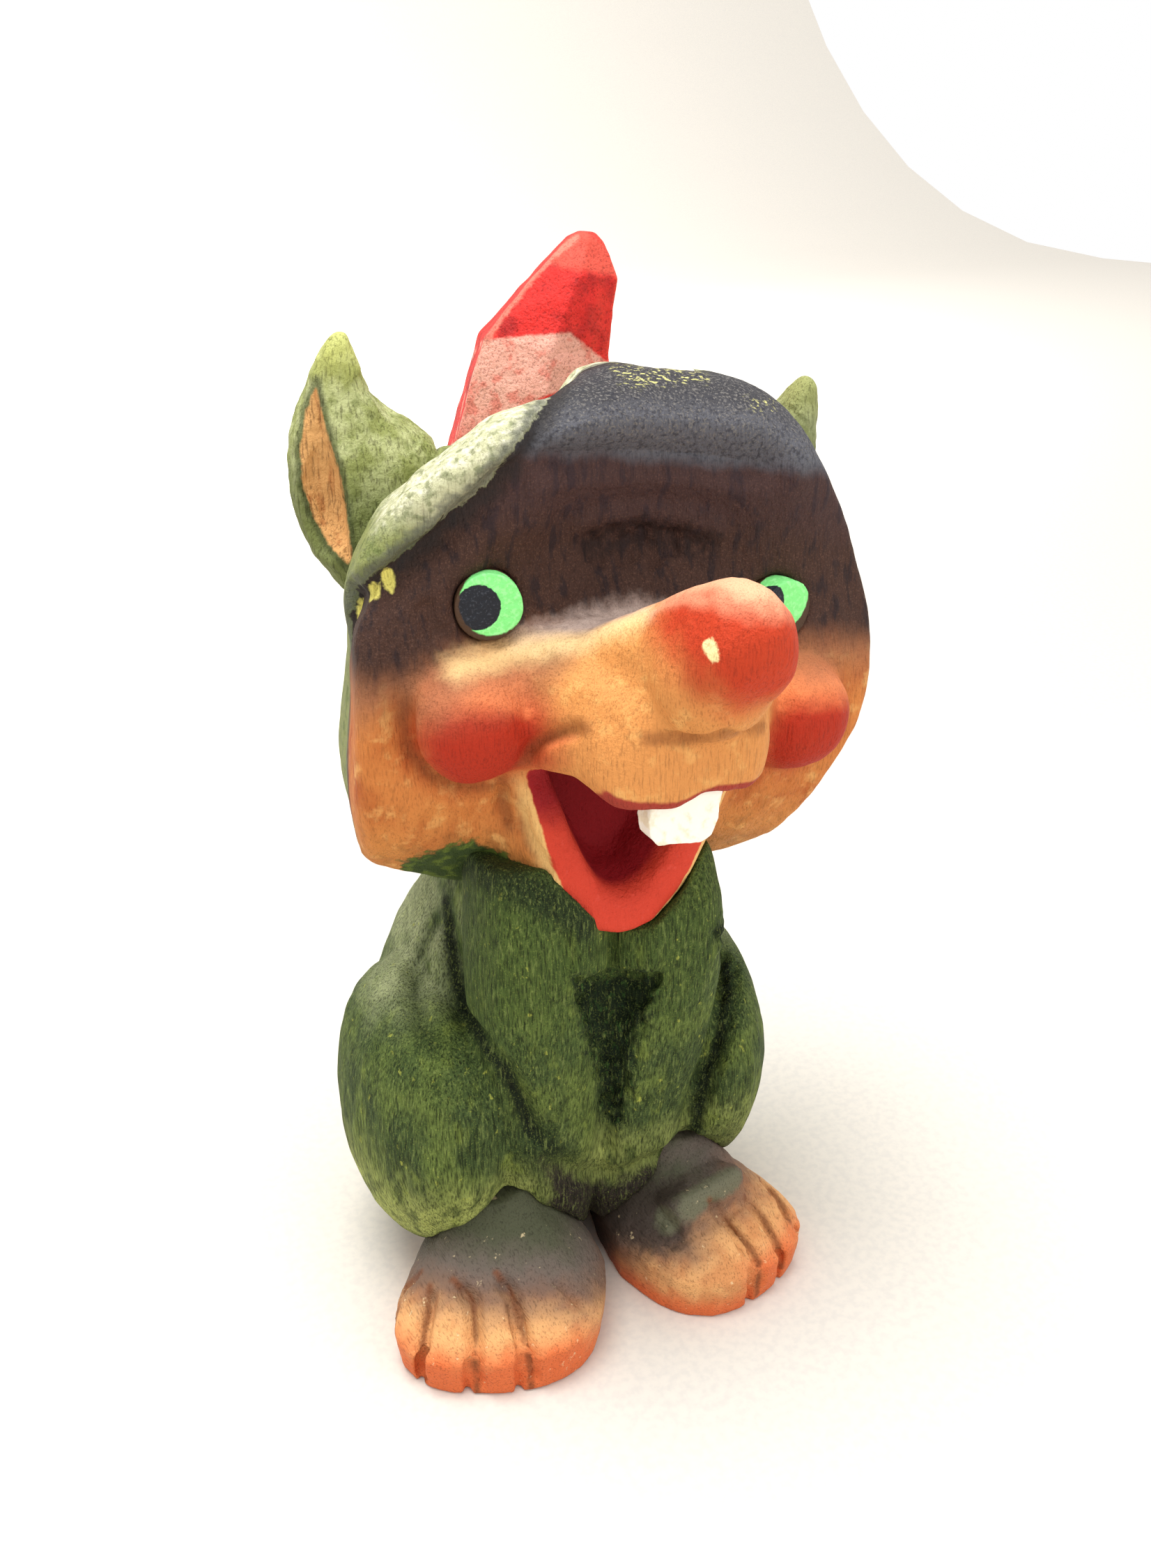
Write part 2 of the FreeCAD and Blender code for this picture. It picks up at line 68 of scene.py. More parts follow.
# The floor and its curve up to the backdrop, in metres
FLOOR_SIZE = 2.4
CURVE_STEPS = 10
CURVE_STRIDE = 0.13
BACKDROP_HEIGHT = 1.4


def set_camera():
    data = bpy.data.cameras.new("photo_camera")
    data.lens = LENS_PIXELS / PHOTO_HEIGHT * SENSOR
    data.sensor_width = SENSOR
    data.clip_start = 0.01
    data.clip_end = 20
    camera = bpy.data.objects.new("photo_camera", data)
    camera.location = EYE_POINT * MM
    camera.rotation_mode = "QUATERNION"
    camera.rotation_quaternion = EYE_TURN
    bpy.context.scene.collection.objects.link(camera)
    bpy.context.scene.camera = camera


def soft_light(name, place, target, size, power):
    """A round lamp, with its places and size in metres and its power in watts."""
    data = bpy.data.lights.new(name, "AREA")
    data.shape = "DISK"
    data.size = size
    data.energy = power
    light = bpy.data.objects.new(name, data)
    light.location = place
    light.rotation_mode = "QUATERNION"
    light.rotation_quaternion = (Vector(place) - Vector(target)).to_track_quat("Z", "Y")
    bpy.context.scene.collection.objects.link(light)


def set_light():
    world = bpy.data.worlds.new("studio")
    world.use_nodes = True
    world.node_tree.nodes["Background"].inputs["Color"].default_value = (1, 1, 1, 1)
    world.node_tree.nodes["Background"].inputs["Strength"].default_value = 1.0
    bpy.context.scene.world = world
    bpy.context.scene.view_settings.view_transform = "Standard"
    figure = (0, 0, 0.07)
    soft_light("overhead", (-0.10, 0.02, 0.62), figure, size=0.42, power=4.2)
    soft_light("front_fill", (0.28, -0.58, 0.30), figure, size=0.5, power=1.1)
    soft_light("backdrop_light", (0, 0.75, 0.75), (0, 1.35, 0.25), size=1.0, power=16)


def set_table():
    """A plain pale floor that curves up behind the figure."""
    bpy.ops.mesh.primitive_plane_add(size=FLOOR_SIZE, location=(0, 0, 0))
    floor = bpy.context.object
    floor.name = "floor"
    only(floor)
    bpy.ops.object.mode_set(mode="EDIT")
    bpy.ops.mesh.select_all(action="DESELECT")
    bpy.ops.object.mode_set(mode="OBJECT")
    for edge in floor.data.edges:
        ends = [floor.data.vertices[i].co.y for i in edge.vertices]
        edge.select = min(ends) > 1
    bpy.ops.object.mode_set(mode="EDIT")
    for step in range(CURVE_STEPS):
        rise = math.radians(90 / CURVE_STEPS * (step + 0.5))
        move = (0, CURVE_STRIDE * math.cos(rise), CURVE_STRIDE * math.sin(rise))
        bpy.ops.mesh.extrude_region_move(TRANSFORM_OT_translate={"value": move})
    bpy.ops.mesh.extrude_region_move(TRANSFORM_OT_translate={"value": (0, 0, BACKDROP_HEIGHT)})
    bpy.ops.object.mode_set(mode="OBJECT")
    bpy.ops.object.shade_smooth()
    look = Finish("pale_table")
    look.base((218, 212, 202))
    look.coat((210, 205, 197), look.patches(0.35, 0.7, 1.2, 3))
    look.close(0.85, 0.2, bumps=[(look.noise(3.0, 2), 0.02)])
    floor.data.materials.append(look.material)


# The workshop

# Corners of the CAD mesh that lie closer than this, in metres, are one corner.
MERGE_DISTANCE = 0.000002


def only(piece):
    """Selects one piece and nothing else."""
    if bpy.context.object and bpy.context.object.mode != "OBJECT":
        bpy.ops.object.mode_set(mode="OBJECT")
    bpy.ops.object.select_all(action="DESELECT")
    piece.select_set(True)
    bpy.context.view_layer.objects.active = piece


def worked(piece, kind, **settings):
    """Gives a piece a modifier with its settings and applies it."""
    only(piece)
    tool = piece.modifiers.new(kind.lower(), kind)
    for key, value in settings.items():
        setattr(tool, key, value)
    bpy.ops.object.modifier_apply(modifier=tool.name)


def blank_from(node, name):
    """The sawn blank for a piece: a copy of a CAD node, its loose triangles merged."""
    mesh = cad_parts[node].data.copy()
    mesh.materials.clear()
    piece = bpy.data.objects.new(name, mesh)
    bpy.context.scene.collection.objects.link(piece)
    only(piece)
    bpy.ops.object.mode_set(mode="EDIT")
    bpy.ops.mesh.select_all(action="SELECT")
    bpy.ops.mesh.remove_doubles(threshold=MERGE_DISTANCE)
    bpy.ops.object.mode_set(mode="OBJECT")
    bpy.ops.mesh.customdata_custom_splitnormals_clear()
    return piece


def ball(middle, radii):
    """A lump of wood, left on when the blank was roughed out."""
    bpy.ops.object.select_all(action="DESELECT")
    bpy.ops.mesh.primitive_uv_sphere_add(
        segments=32, ring_count=20, radius=MM, location=[x * MM for x in middle], scale=radii
    )
    lump = bpy.context.object
    only(lump)
    bpy.ops.object.transform_apply(location=True, rotation=True, scale=True)
    return lump


def fused(piece, lumps):
    """Joins the lumps to the piece, so that the next remesh makes one skin of them."""
    bpy.ops.object.select_all(action="DESELECT")
    for lump in lumps:
        lump.select_set(True)
    piece.select_set(True)
    bpy.context.view_layer.objects.active = piece
    bpy.ops.object.join()


def skinned(piece, voxel, rounds):
    """One even skin over the whole piece, softened so that the saw's facets go."""
    worked(piece, "REMESH", mode="VOXEL", voxel_size=voxel * MM, adaptivity=0)
    worked(piece, "SMOOTH", factor=0.5, iterations=rounds)


def to_head(points):
    """Row points in the head's own upright frame, centred on the neck's axis."""
    p = np.atleast_2d(points) - NECK
    c, s = math.cos(HEAD_LEAN), math.sin(HEAD_LEAN)
    return np.stack([p[:, 0] * c - p[:, 2] * s, p[:, 1], p[:, 0] * s + p[:, 2] * c + NECK[2]], 1)


def from_head(points):
    """Points of the head's own frame back in the row frame."""
    p = np.atleast_2d(points) - np.array([0, 0, NECK[2]])
    c, s = math.cos(HEAD_LEAN), math.sin(HEAD_LEAN)
    return np.stack([p[:, 0] * c + p[:, 2] * s, p[:, 1], -p[:, 0] * s + p[:, 2] * c], 1) + NECK


def soft_step(x, low, high):
    """0 below low, 1 above high, and eased between them."""
    t = np.clip((x - low) / (high - low), 0, 1)
    return t * t * (3 - 2 * t)


class Carving:
    """The skin of a piece as arrays, for the knife's strokes and for the borders of the paint."""

    # A depth for points that an outline of the photograph can't reach
    HIDDEN = -20.0
    # Skin that turns further from the camera than this can't be reached
    EDGE_ON = -0.05
    # Where a line of sight passes a piece by, it is searched in steps from this distance, in metres
    SEARCH_START = 0.09
    SEARCH_STEP = 0.002
    SEARCH_STEPS = 60

    def __init__(self, piece):
        self.piece = piece
        self.read()

    def read(self):
        mesh = self.piece.data
        flat = np.empty(len(mesh.vertices) * 3, np.float32)
        mesh.vertices.foreach_get("co", flat)
        self.points = flat.reshape(-1, 3).astype(float) / MM
        mesh.vertices.foreach_get("normal", flat)
        self.normals = flat.reshape(-1, 3).astype(float)
        self.tree = BVHTree.FromObject(self.piece, bpy.context.evaluated_depsgraph_get())

    def write(self):
        mesh = self.piece.data
        mesh.vertices.foreach_set("co", (self.points * MM).astype(np.float32).ravel())
        mesh.update()
        self.read()

    def seen(self, pixels):
        """Where the camera sees these pixels of the photograph's frame on this piece."""
        found = []
        for x, y in pixels:
            way = EYE_TURN @ Vector((
                (x - PHOTO_WIDTH / 2) / LENS_PIXELS, -(y - PHOTO_HEIGHT / 2) / LENS_PIXELS, -1
            ))
            way.normalize()
            hit = self.tree.ray_cast(EYE_POINT * MM, way)[0]
            if hit is None:
                reaches = [self.SEARCH_START + self.SEARCH_STEP * k for k in range(self.SEARCH_STEPS)]
                near = [self.tree.find_nearest(EYE_POINT * MM + way * reach) for reach in reaches]
                hit = min(near, key=lambda n: n[3])[0]
            found.append([v / MM for v in hit])
        return np.array(found)

    def from_line(self, line):
        """Each point's distance to a line of points, and how far along the line its nearest place is."""
        line = np.atleast_2d(line)
        best = np.full(len(self.points), 1e9)
        along = np.zeros(len(self.points))
        lengths = np.linalg.norm(np.diff(line, axis=0), axis=1)
        total = max(lengths.sum(), 1e-9)
        done = 0.0
        for a, b, length in zip(line[:-1], line[1:], lengths):
            ab = b - a
            t = np.clip((self.points - a) @ ab / max(length * length, 1e-12), 0, 1)
            d = np.linalg.norm(self.points - (a + t[:, None] * ab), axis=1)
            nearer = d < best
            best = np.where(nearer, d, best)
            along = np.where(nearer, (done + t * length) / total, along)
            done += length
        return best, along

    def off(self, pixels):
        """Each point's distance to a line drawn in the photograph's frame."""
        return self.from_line(self.seen(pixels))[0]

    def off_any(self, lines):
        """Each point's distance to the nearest of some lines in the photograph's frame."""
        return np.minimum.reduce([self.off(line) for line in lines])

    def move(self, amounts):
        """Moves each point out along its normal, or in where the amount is below zero."""
        self.points = self.points + self.normals * amounts[:, None]

    def press(self, line, width, depth, sharp=False, taper=0.18):
        """A groove along a line, or a raised fold where the depth is below zero."""
        d, along = self.from_line(line)
        share = np.clip(1 - d / width, 0, 1)
        form = share if sharp else share * share * (3 - 2 * share)
        ends = soft_step(along, 0, taper) * soft_step(1 - along, 0, taper) if taper else 1
        self.move(-depth * form * ends)

    def cut(self, strokes, **how):
        """Presses each stroke: its line in the photograph's frame, its width and its depth."""
        for line, width, depth in strokes:
            self.press(self.seen(line), width, depth, **how)

    def on_photo(self, points):
        """Each point's pixel in the photograph's frame, and how squarely its skin faces the camera."""
        turn = np.array(EYE_TURN.to_matrix())
        local = (points - np.array(EYE_POINT)) @ turn
        x = PHOTO_WIDTH / 2 - LENS_PIXELS * local[:, 0] / local[:, 2]
        y = PHOTO_HEIGHT / 2 + LENS_PIXELS * local[:, 1] / local[:, 2]
        away = np.array(EYE_POINT) - self.points
        away /= np.linalg.norm(away, axis=1)[:, None]
        return x, y, (away * self.normals).sum(1)

    def inside(self, corners, points=None):
        """How deep each point lies inside an outline of the photograph's frame, in mm."""
        x, y, facing = self.on_photo(self.points if points is None else points)
        inside = np.zeros(len(x), bool)
        near = np.full(len(x), 1e9)
        for (ax, ay), (bx, by) in zip(corners, corners[1:] + corners[:1]):
            crosses = (ay > y) != (by > y)
            with np.errstate(divide="ignore", invalid="ignore"):
                at = ax + (y - ay) * (bx - ax) / (by - ay)
            inside ^= crosses & (x < at)
            ex, ey = bx - ax, by - ay
            t = np.clip(((x - ax) * ex + (y - ay) * ey) / (ex * ex + ey * ey), 0, 1)
            near = np.minimum(near, np.hypot(x - ax - t * ex, y - ay - t * ey))
        depth = np.where(inside, near, -near) / PIXELS_PER_MM
        return np.where(facing > self.EDGE_ON, depth, self.HIDDEN) if points is None else depth

    def mark(self, name, values):
        """Stores a number for each point of the skin, which the finish reads by its name."""
        layer = self.piece.data.attributes.new(name, "FLOAT", "POINT")
        layer.data.foreach_set("value", np.broadcast_to(values, len(self.points)).astype(np.float32))

    def lumps(self, size, stretch=(1, 1, 1), shift=0.0):
        """Smooth noise at each point, with lumps of about this size in mm."""
        step = np.array(stretch) / size
        return np.array([noise.noise(Vector(p * step + shift)) for p in self.points])

    def rough(self, size, height, stretch=(1, 1, 1), shift=0.0):
        """A slight unevenness all over, as a knife leaves it."""
        self.move(self.lumps(size, stretch, shift) * height)


# Finishes

def paint(colour):
    """A colour given as 0 to 255, as the shader wants it."""
    values = [c / 255 for c in colour]
    return [c / 12.92 if c < 0.04045 else ((c + 0.055) / 1.055) ** 2.4 for c in values] + [1.0]


class Finish:
    """A finish built up in coats over a base colour, with its own grain and bumps."""

    NOISE_ROUGHNESS = 0.55

    def __init__(self, name):
        self.material = bpy.data.materials.new(name)
        self.material.use_nodes = True
        self.tree = self.material.node_tree
        self.tree.nodes.clear()
        out = self.tree.nodes.new("ShaderNodeOutputMaterial")
        self.shader = self.tree.nodes.new("ShaderNodeBsdfPrincipled")
        self.tree.links.new(self.shader.outputs["BSDF"], out.inputs["Surface"])
        self.place = self.tree.nodes.new("ShaderNodeTexCoord").outputs["Object"]
        self.colour = None

    def put(self, socket, value):
        if isinstance(value, bpy.types.NodeSocket):
            self.tree.links.new(value, socket)
        else:
            socket.default_value = value

    def math(self, kind, a, b):
        node = self.tree.nodes.new("ShaderNodeMath")
        node.operation = kind
        self.put(node.inputs[0], a)
        self.put(node.inputs[1], b)
        return node.outputs[0]

    def product(self, *amounts):
        total = amounts[0]
        for amount in amounts[1:]:
            total = self.math("MULTIPLY", total, amount)
        return total

    def between(self, value, low, high):
        """0 below low, 1 above high and eased between them, or the reverse where low is the higher."""
        node = self.tree.nodes.new("ShaderNodeMapRange")
        node.interpolation_type = "SMOOTHSTEP"
        self.put(node.inputs["Value"], value)
        node.inputs["From Min"].default_value = low
        node.inputs["From Max"].default_value = high
        return node.outputs["Result"]

    def field(self, name):
        """A number that Carving.mark stored on the skin."""
        node = self.tree.nodes.new("ShaderNodeAttribute")
        node.attribute_name = name
        return node.outputs["Fac"]

    def noise(self, size, detail, stretch=(1, 1, 1), shift=0.0):
        """Noise with lumps of about this size in millimetres, drawn out along an axis by stretch."""
        spread = self.tree.nodes.new("ShaderNodeMapping")
        self.tree.links.new(self.place, spread.inputs["Vector"])
        spread.inputs["Scale"].default_value = [1 / MM / (size * s) for s in stretch]
        spread.inputs["Location"].default_value = (shift, shift, shift)
        node = self.tree.nodes.new("ShaderNodeTexNoise")
        self.tree.links.new(spread.outputs["Vector"], node.inputs["Vector"])
        node.inputs["Scale"].default_value = 1.0
        node.inputs["Detail"].default_value = detail
        node.inputs["Roughness"].default_value = self.NOISE_ROUGHNESS
        return node.outputs["Fac"]

    def patches(self, low, high, size, detail, stretch=(1, 1, 1), shift=0.0):
        """Patches of noise, from none where it is at low to full where it is at high."""
        return self.between(self.noise(size, detail, stretch, shift), low, high)

    def border(self, name, low, high, wander=0.0, size=1.0, stretch=(1, 1, 1)):
        """The border of a field that runs from low to high, and wanders by some mm in lumps of a size."""
        value = self.field(name)
        if wander:
            drift = self.math("SUBTRACT", self.noise(size, 3.0, stretch), 0.5)
            value = self.math("ADD", value, self.math("MULTIPLY", drift, wander * 2))
        return self.between(value, low, high)

    def base(self, colour):
        self.colour = paint(colour)

    def coat(self, colour, *amounts, kind="MIX"):
        """Lays a colour over what is there, as much as the amounts say when they are multiplied."""
        node = self.tree.nodes.new("ShaderNodeMix")
        node.data_type = "RGBA"
        node.blend_type = kind
        self.put(node.inputs["Factor"], self.product(*amounts))
        self.put(node.inputs[6], self.colour)
        self.put(node.inputs[7], paint(colour))
        self.colour = node.outputs[2]

    def close(self, roughness, gloss, bumps):
        """Sets the shader, with bumps as pairs of a height and its depth in millimetres."""
        self.put(self.shader.inputs["Base Color"], self.colour)
        self.put(self.shader.inputs["Roughness"], roughness)
        self.shader.inputs["Specular IOR Level"].default_value = gloss
        last = None
        for height, depth in bumps:
            bump = self.tree.nodes.new("ShaderNodeBump")
            bump.inputs["Strength"].default_value = 1.0
            bump.inputs["Distance"].default_value = depth * MM
            self.tree.links.new(height, bump.inputs["Height"])
            if last:
                self.tree.links.new(last, bump.inputs["Normal"])
            last = bump.outputs["Normal"]
        self.tree.links.new(last, self.shader.inputs["Normal"])


def ready(piece, look, node):
    """Gives a finished piece its look and its place on the figure."""
    piece.data.materials.clear()
    piece.data.materials.append(look.material)
    only(piece)
    bpy.ops.object.shade_smooth()
    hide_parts(node)
    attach(piece, "root")


# The head: sizes in its own frame, and lines and outlines in the photograph's frame.
# A stroke is a line, its width and its depth in mm. Below zero it is a raised fold.

CHEEK_LUMPS = ((-19.4, -19.8, 80.4), (21.0, -19.8, 80.4))
CHEEK_RADII = (7.2, 6.6, 6.8)
MUZZLE_LUMP = (0, -35.2, 90.5)
MUZZLE_RADII = (7.0, 5.8, 7.5)
CHIN_TOP = 62
CHIN_BACK = -13

CREASES = {
    "smile": ([(842, 1044), (800, 1053), (768, 1070), (748, 1096)], 1.6, 1.1),
    "under the nose": ([(930, 1060), (985, 1059), (1040, 1052), (1095, 1043)], 1.2, 0.7),
    "round the cheek": (
        [(585, 985), (578, 1030), (588, 1078), (615, 1110), (655, 1128), (705, 1128)], 2.6, 1.1
    ),
    "beside the mouth": ([(748, 1150), (752, 1185), (768, 1220), (800, 1262)], 1.5, 0.8),
    "down the jaw": ([(722, 1120), (722, 1150), (730, 1185)], 1.4, 0.6),
}
HOOD_STROKES = {
    "under the fringe": (
        [(735, 668), (800, 664), (900, 656), (1010, 656), (1110, 672), (1150, 690)], 3.8, 2.1
    ),
    "fringe": ([(780, 600), (860, 592), (960, 588), (1060, 600), (1120, 625)], 7.0, -1.0),
    "under the jaw": ([(700, 1170), (660, 1180), (600, 1170)], 3.0, 0.5),
}
BROW_STROKES = {
    "over the nose": ([(800, 768), (860, 742), (930, 736), (1000, 748), (1050, 776)], 2.4, -0.7),
    "over the eye": ([(640, 800), (720, 760), (800, 742)], 5.0, -0.8),
    "under the eye": ([(600, 850), (625, 905), (690, 930)], 2.2, 0.6),
}
UPPER_LIP = [(812, 1112), (850, 1122), (905, 1124), (965, 1122)]
LIP_DROP = 1.9
CREST = [(622, 640), (645, 622), (668, 606), (705, 590), (745, 570)]
CREST_DROP = 3.0

CHISEL_FIRST = (846, 758)
CHISEL_COUNT = 9
CHISEL_PITCH = 15
CHISEL_SWAY = 12
CHISEL_RUN = (4, 52)
CHISEL_MARKS = [(850, 778), (900, 762), (960, 762), (1010, 780)]

NICK_TOPS = ((518, 866), (536, 845), (556, 824))
NICK_RUN = (0.3, 0, -1.9)

HAIRLINE = [
    (795, 556), (772, 592), (742, 634), (713, 671), (688, 702), (640, 737), (590, 782), (548, 815),
]
HAIR_PATCH = HAIRLINE + [(513, 840), (470, 860), (380, 700), (420, 400), (700, 380), (800, 450)]
HAIR_HEIGHTS = [95, 102, 110]
HAIR_BACK = -8.0
HAIR_SLANT = 4
HAIR_WANDER = 1.1
HAIR_ROLL = 0.8
HAIR_UNDERCUT = 1.3

BROW_ACROSS = [-30, -21, -13, 13, 21, 30]
BROW_FOOT = [82.5, 86.0, 88.0, 88.0, 88.0, 87.5]
BROW_BACK = -23.5
NOSE_MIDDLE = (0, -39.5, 97.0)
NOSE_RADIUS = 9.6
CHEEK_MIDDLE = (20.6, -24.5, 79.2)
FACE_MIDDLE = 0.9
CHEEK_RADIUS = 8.3
HIGHLIGHT_BAND = [(735, 912), (800, 894), (870, 872), (925, 862), (928, 876), (870, 898), (800, 920), (740, 930)]
SHINE = [(660, 958), (730, 936), (800, 922), (870, 903), (915, 888)]
NOSE_SPOT = [(1017, 926), (1023, 940)]
BARE_SPOTS = (
    [(868, 516), (1012, 520), (1020, 552), (890, 560)],
    [(1066, 566), (1118, 572), (1112, 596), (1070, 588)],
)
THROAT = [
    (575, 1235), (640, 1214), (682, 1204), (722, 1224), (762, 1250), (805, 1280), (852, 1312),
    (900, 1345), (900, 1450), (560, 1450),
]

MOUTH_TOP = 78.0
MOUTH_RIM = -21.5
MOUTH_SLOPE = 0.150
MOUTH_BACK = -9.5
MOUTH_HEIGHTS = [55.0, 55.8, 60.4, 66.5, 74.5, 78.0]
MOUTH_HALVES = [0, 3.6, 7.64, 10.45, 13.4, 12.9]
LIP_HALF = 9.5
LIP_MIDDLE = -5.0


def head_point(place):
    """A place of the head's own frame in the row frame."""
    return from_head(place)[0]


def hair_border(work, points, top):
    """How far behind the hairline each point of the head lies, in mm."""
    x, y, z = points.T
    patch = np.where((y > -30) & (x < 0), work.inside(HAIR_PATCH, from_head(points)), -9.0)
    behind = y - np.interp(z, HAIR_HEIGHTS, [HAIR_BACK, top, top + HAIR_SLANT])
    return np.maximum(patch, behind)


def head_blank():
    """The head's skin, with its cheeks and muzzle full and its chin smooth."""
    head = blank_from("head", "carved_head")
    cheeks = [ball(head_point(place), CHEEK_RADII) for place in CHEEK_LUMPS]
    fused(head, cheeks + [ball(head_point(MUZZLE_LUMP), MUZZLE_RADII)])
    skinned(head, voxel=0.46, rounds=22)
    x, y, z = to_head(Carving(head).points).T
    chin = head.vertex_groups.new(name="chin")
    chin.add([int(i) for i in np.nonzero((z < CHIN_TOP) & (y < CHIN_BACK))[0]], 1.0, "REPLACE")
    worked(head, "SMOOTH", factor=0.5, iterations=50, vertex_group="chin")
    return head


def roll_hair(work, top):
    """Lets the hair stand over the forehead as a rolled, uneven lip."""
    h = to_head(work.points)
    s = hair_border(work, h, top) + work.lumps(3.2) * HAIR_WANDER
    roll = soft_step(s, -0.5, 0.7) * (1 - soft_step(s, 2.0, 6.0)) * HAIR_ROLL
    under = soft_step(s, -5.5, -0.8) * (1 - soft_step(s, -0.8, 0.4)) * HAIR_UNDERCUT
    work.move((roll - under) * soft_step(h[:, 2], 84, 90) * soft_step(-h[:, 0], 9, 19))
    work.write()


def mark_head(work, top, nicks):
    """Stores on the head where each of its colours begins and ends."""
    h = to_head(work.points)
    x, y, z = h.T
    side = np.abs(x)
    work.mark("hair", hair_border(work, h, top))
    work.mark("height", z)
    work.mark("upward", to_head(work.normals + NECK)[:, 2] - NECK[2])
    work.mark("front", -y - 20.5)
    work.mark("brow", np.minimum(z - np.interp(x, BROW_ACROSS, BROW_FOOT), (y - BROW_BACK) * 1.6))
    nose_y, nose_z = (y - NOSE_MIDDLE[1]) * 0.62, (z - NOSE_MIDDLE[2]) * 0.9
    work.mark("nose", NOSE_RADIUS - np.sqrt(x ** 2 + nose_y ** 2 + nose_z ** 2))
    out = np.abs(x - FACE_MIDDLE) - CHEEK_MIDDLE[0]
    cheek = np.sqrt(out ** 2 + (y - CHEEK_MIDDLE[1]) ** 2 + (z - CHEEK_MIDDLE[2]) ** 2)
    work.mark("cheek", CHEEK_RADIUS - cheek)
    near_half = from_head(np.stack([-side, y, z], 1))
    work.mark("highlight_band", np.where(y < -12, work.inside(HIGHLIGHT_BAND, near_half), -9.0))
    work.mark("shine", 2.6 - work.off(SHINE))
    work.mark("chisel", 3.2 - work.off(CHISEL_MARKS))
    work.mark("spot", 0.9 - work.off(NOSE_SPOT))
    work.mark("nick", 0.95 - np.minimum.reduce([work.from_line(nick)[0] for nick in nicks]))
    work.mark("crease_shade", 1.6 - work.off_any(line for line, width, depth in CREASES.values()))
    work.mark("bare", np.maximum(work.inside(BARE_SPOTS[0]), work.inside(BARE_SPOTS[1])))
    neck_line = 54.8 - work.points[:, 2] + 0.12 * y
    work.mark("throat", np.maximum(work.inside(THROAT), neck_line))
    # the mouth's red, the hollow behind its rim and the line along the upper lip
    rim = MOUTH_RIM - MOUTH_SLOPE * (MOUTH_TOP - z)
    half = np.interp(z, MOUTH_HEIGHTS, MOUTH_HALVES)
    work.mark("mouth", np.minimum.reduce([half - side, y - rim + 0.9, MOUTH_TOP - z, MOUTH_BACK - y]))
    work.mark("hollow", y - rim - 1.2)
    lip = 77.9 - 1.7 * (1 - soft_step(np.abs(x - LIP_MIDDLE), 2.0, 8.0))
    work.mark("lip", np.minimum.reduce([LIP_HALF - side, -y - 20, lip + 0.5 - z, z - lip + 2.0]))


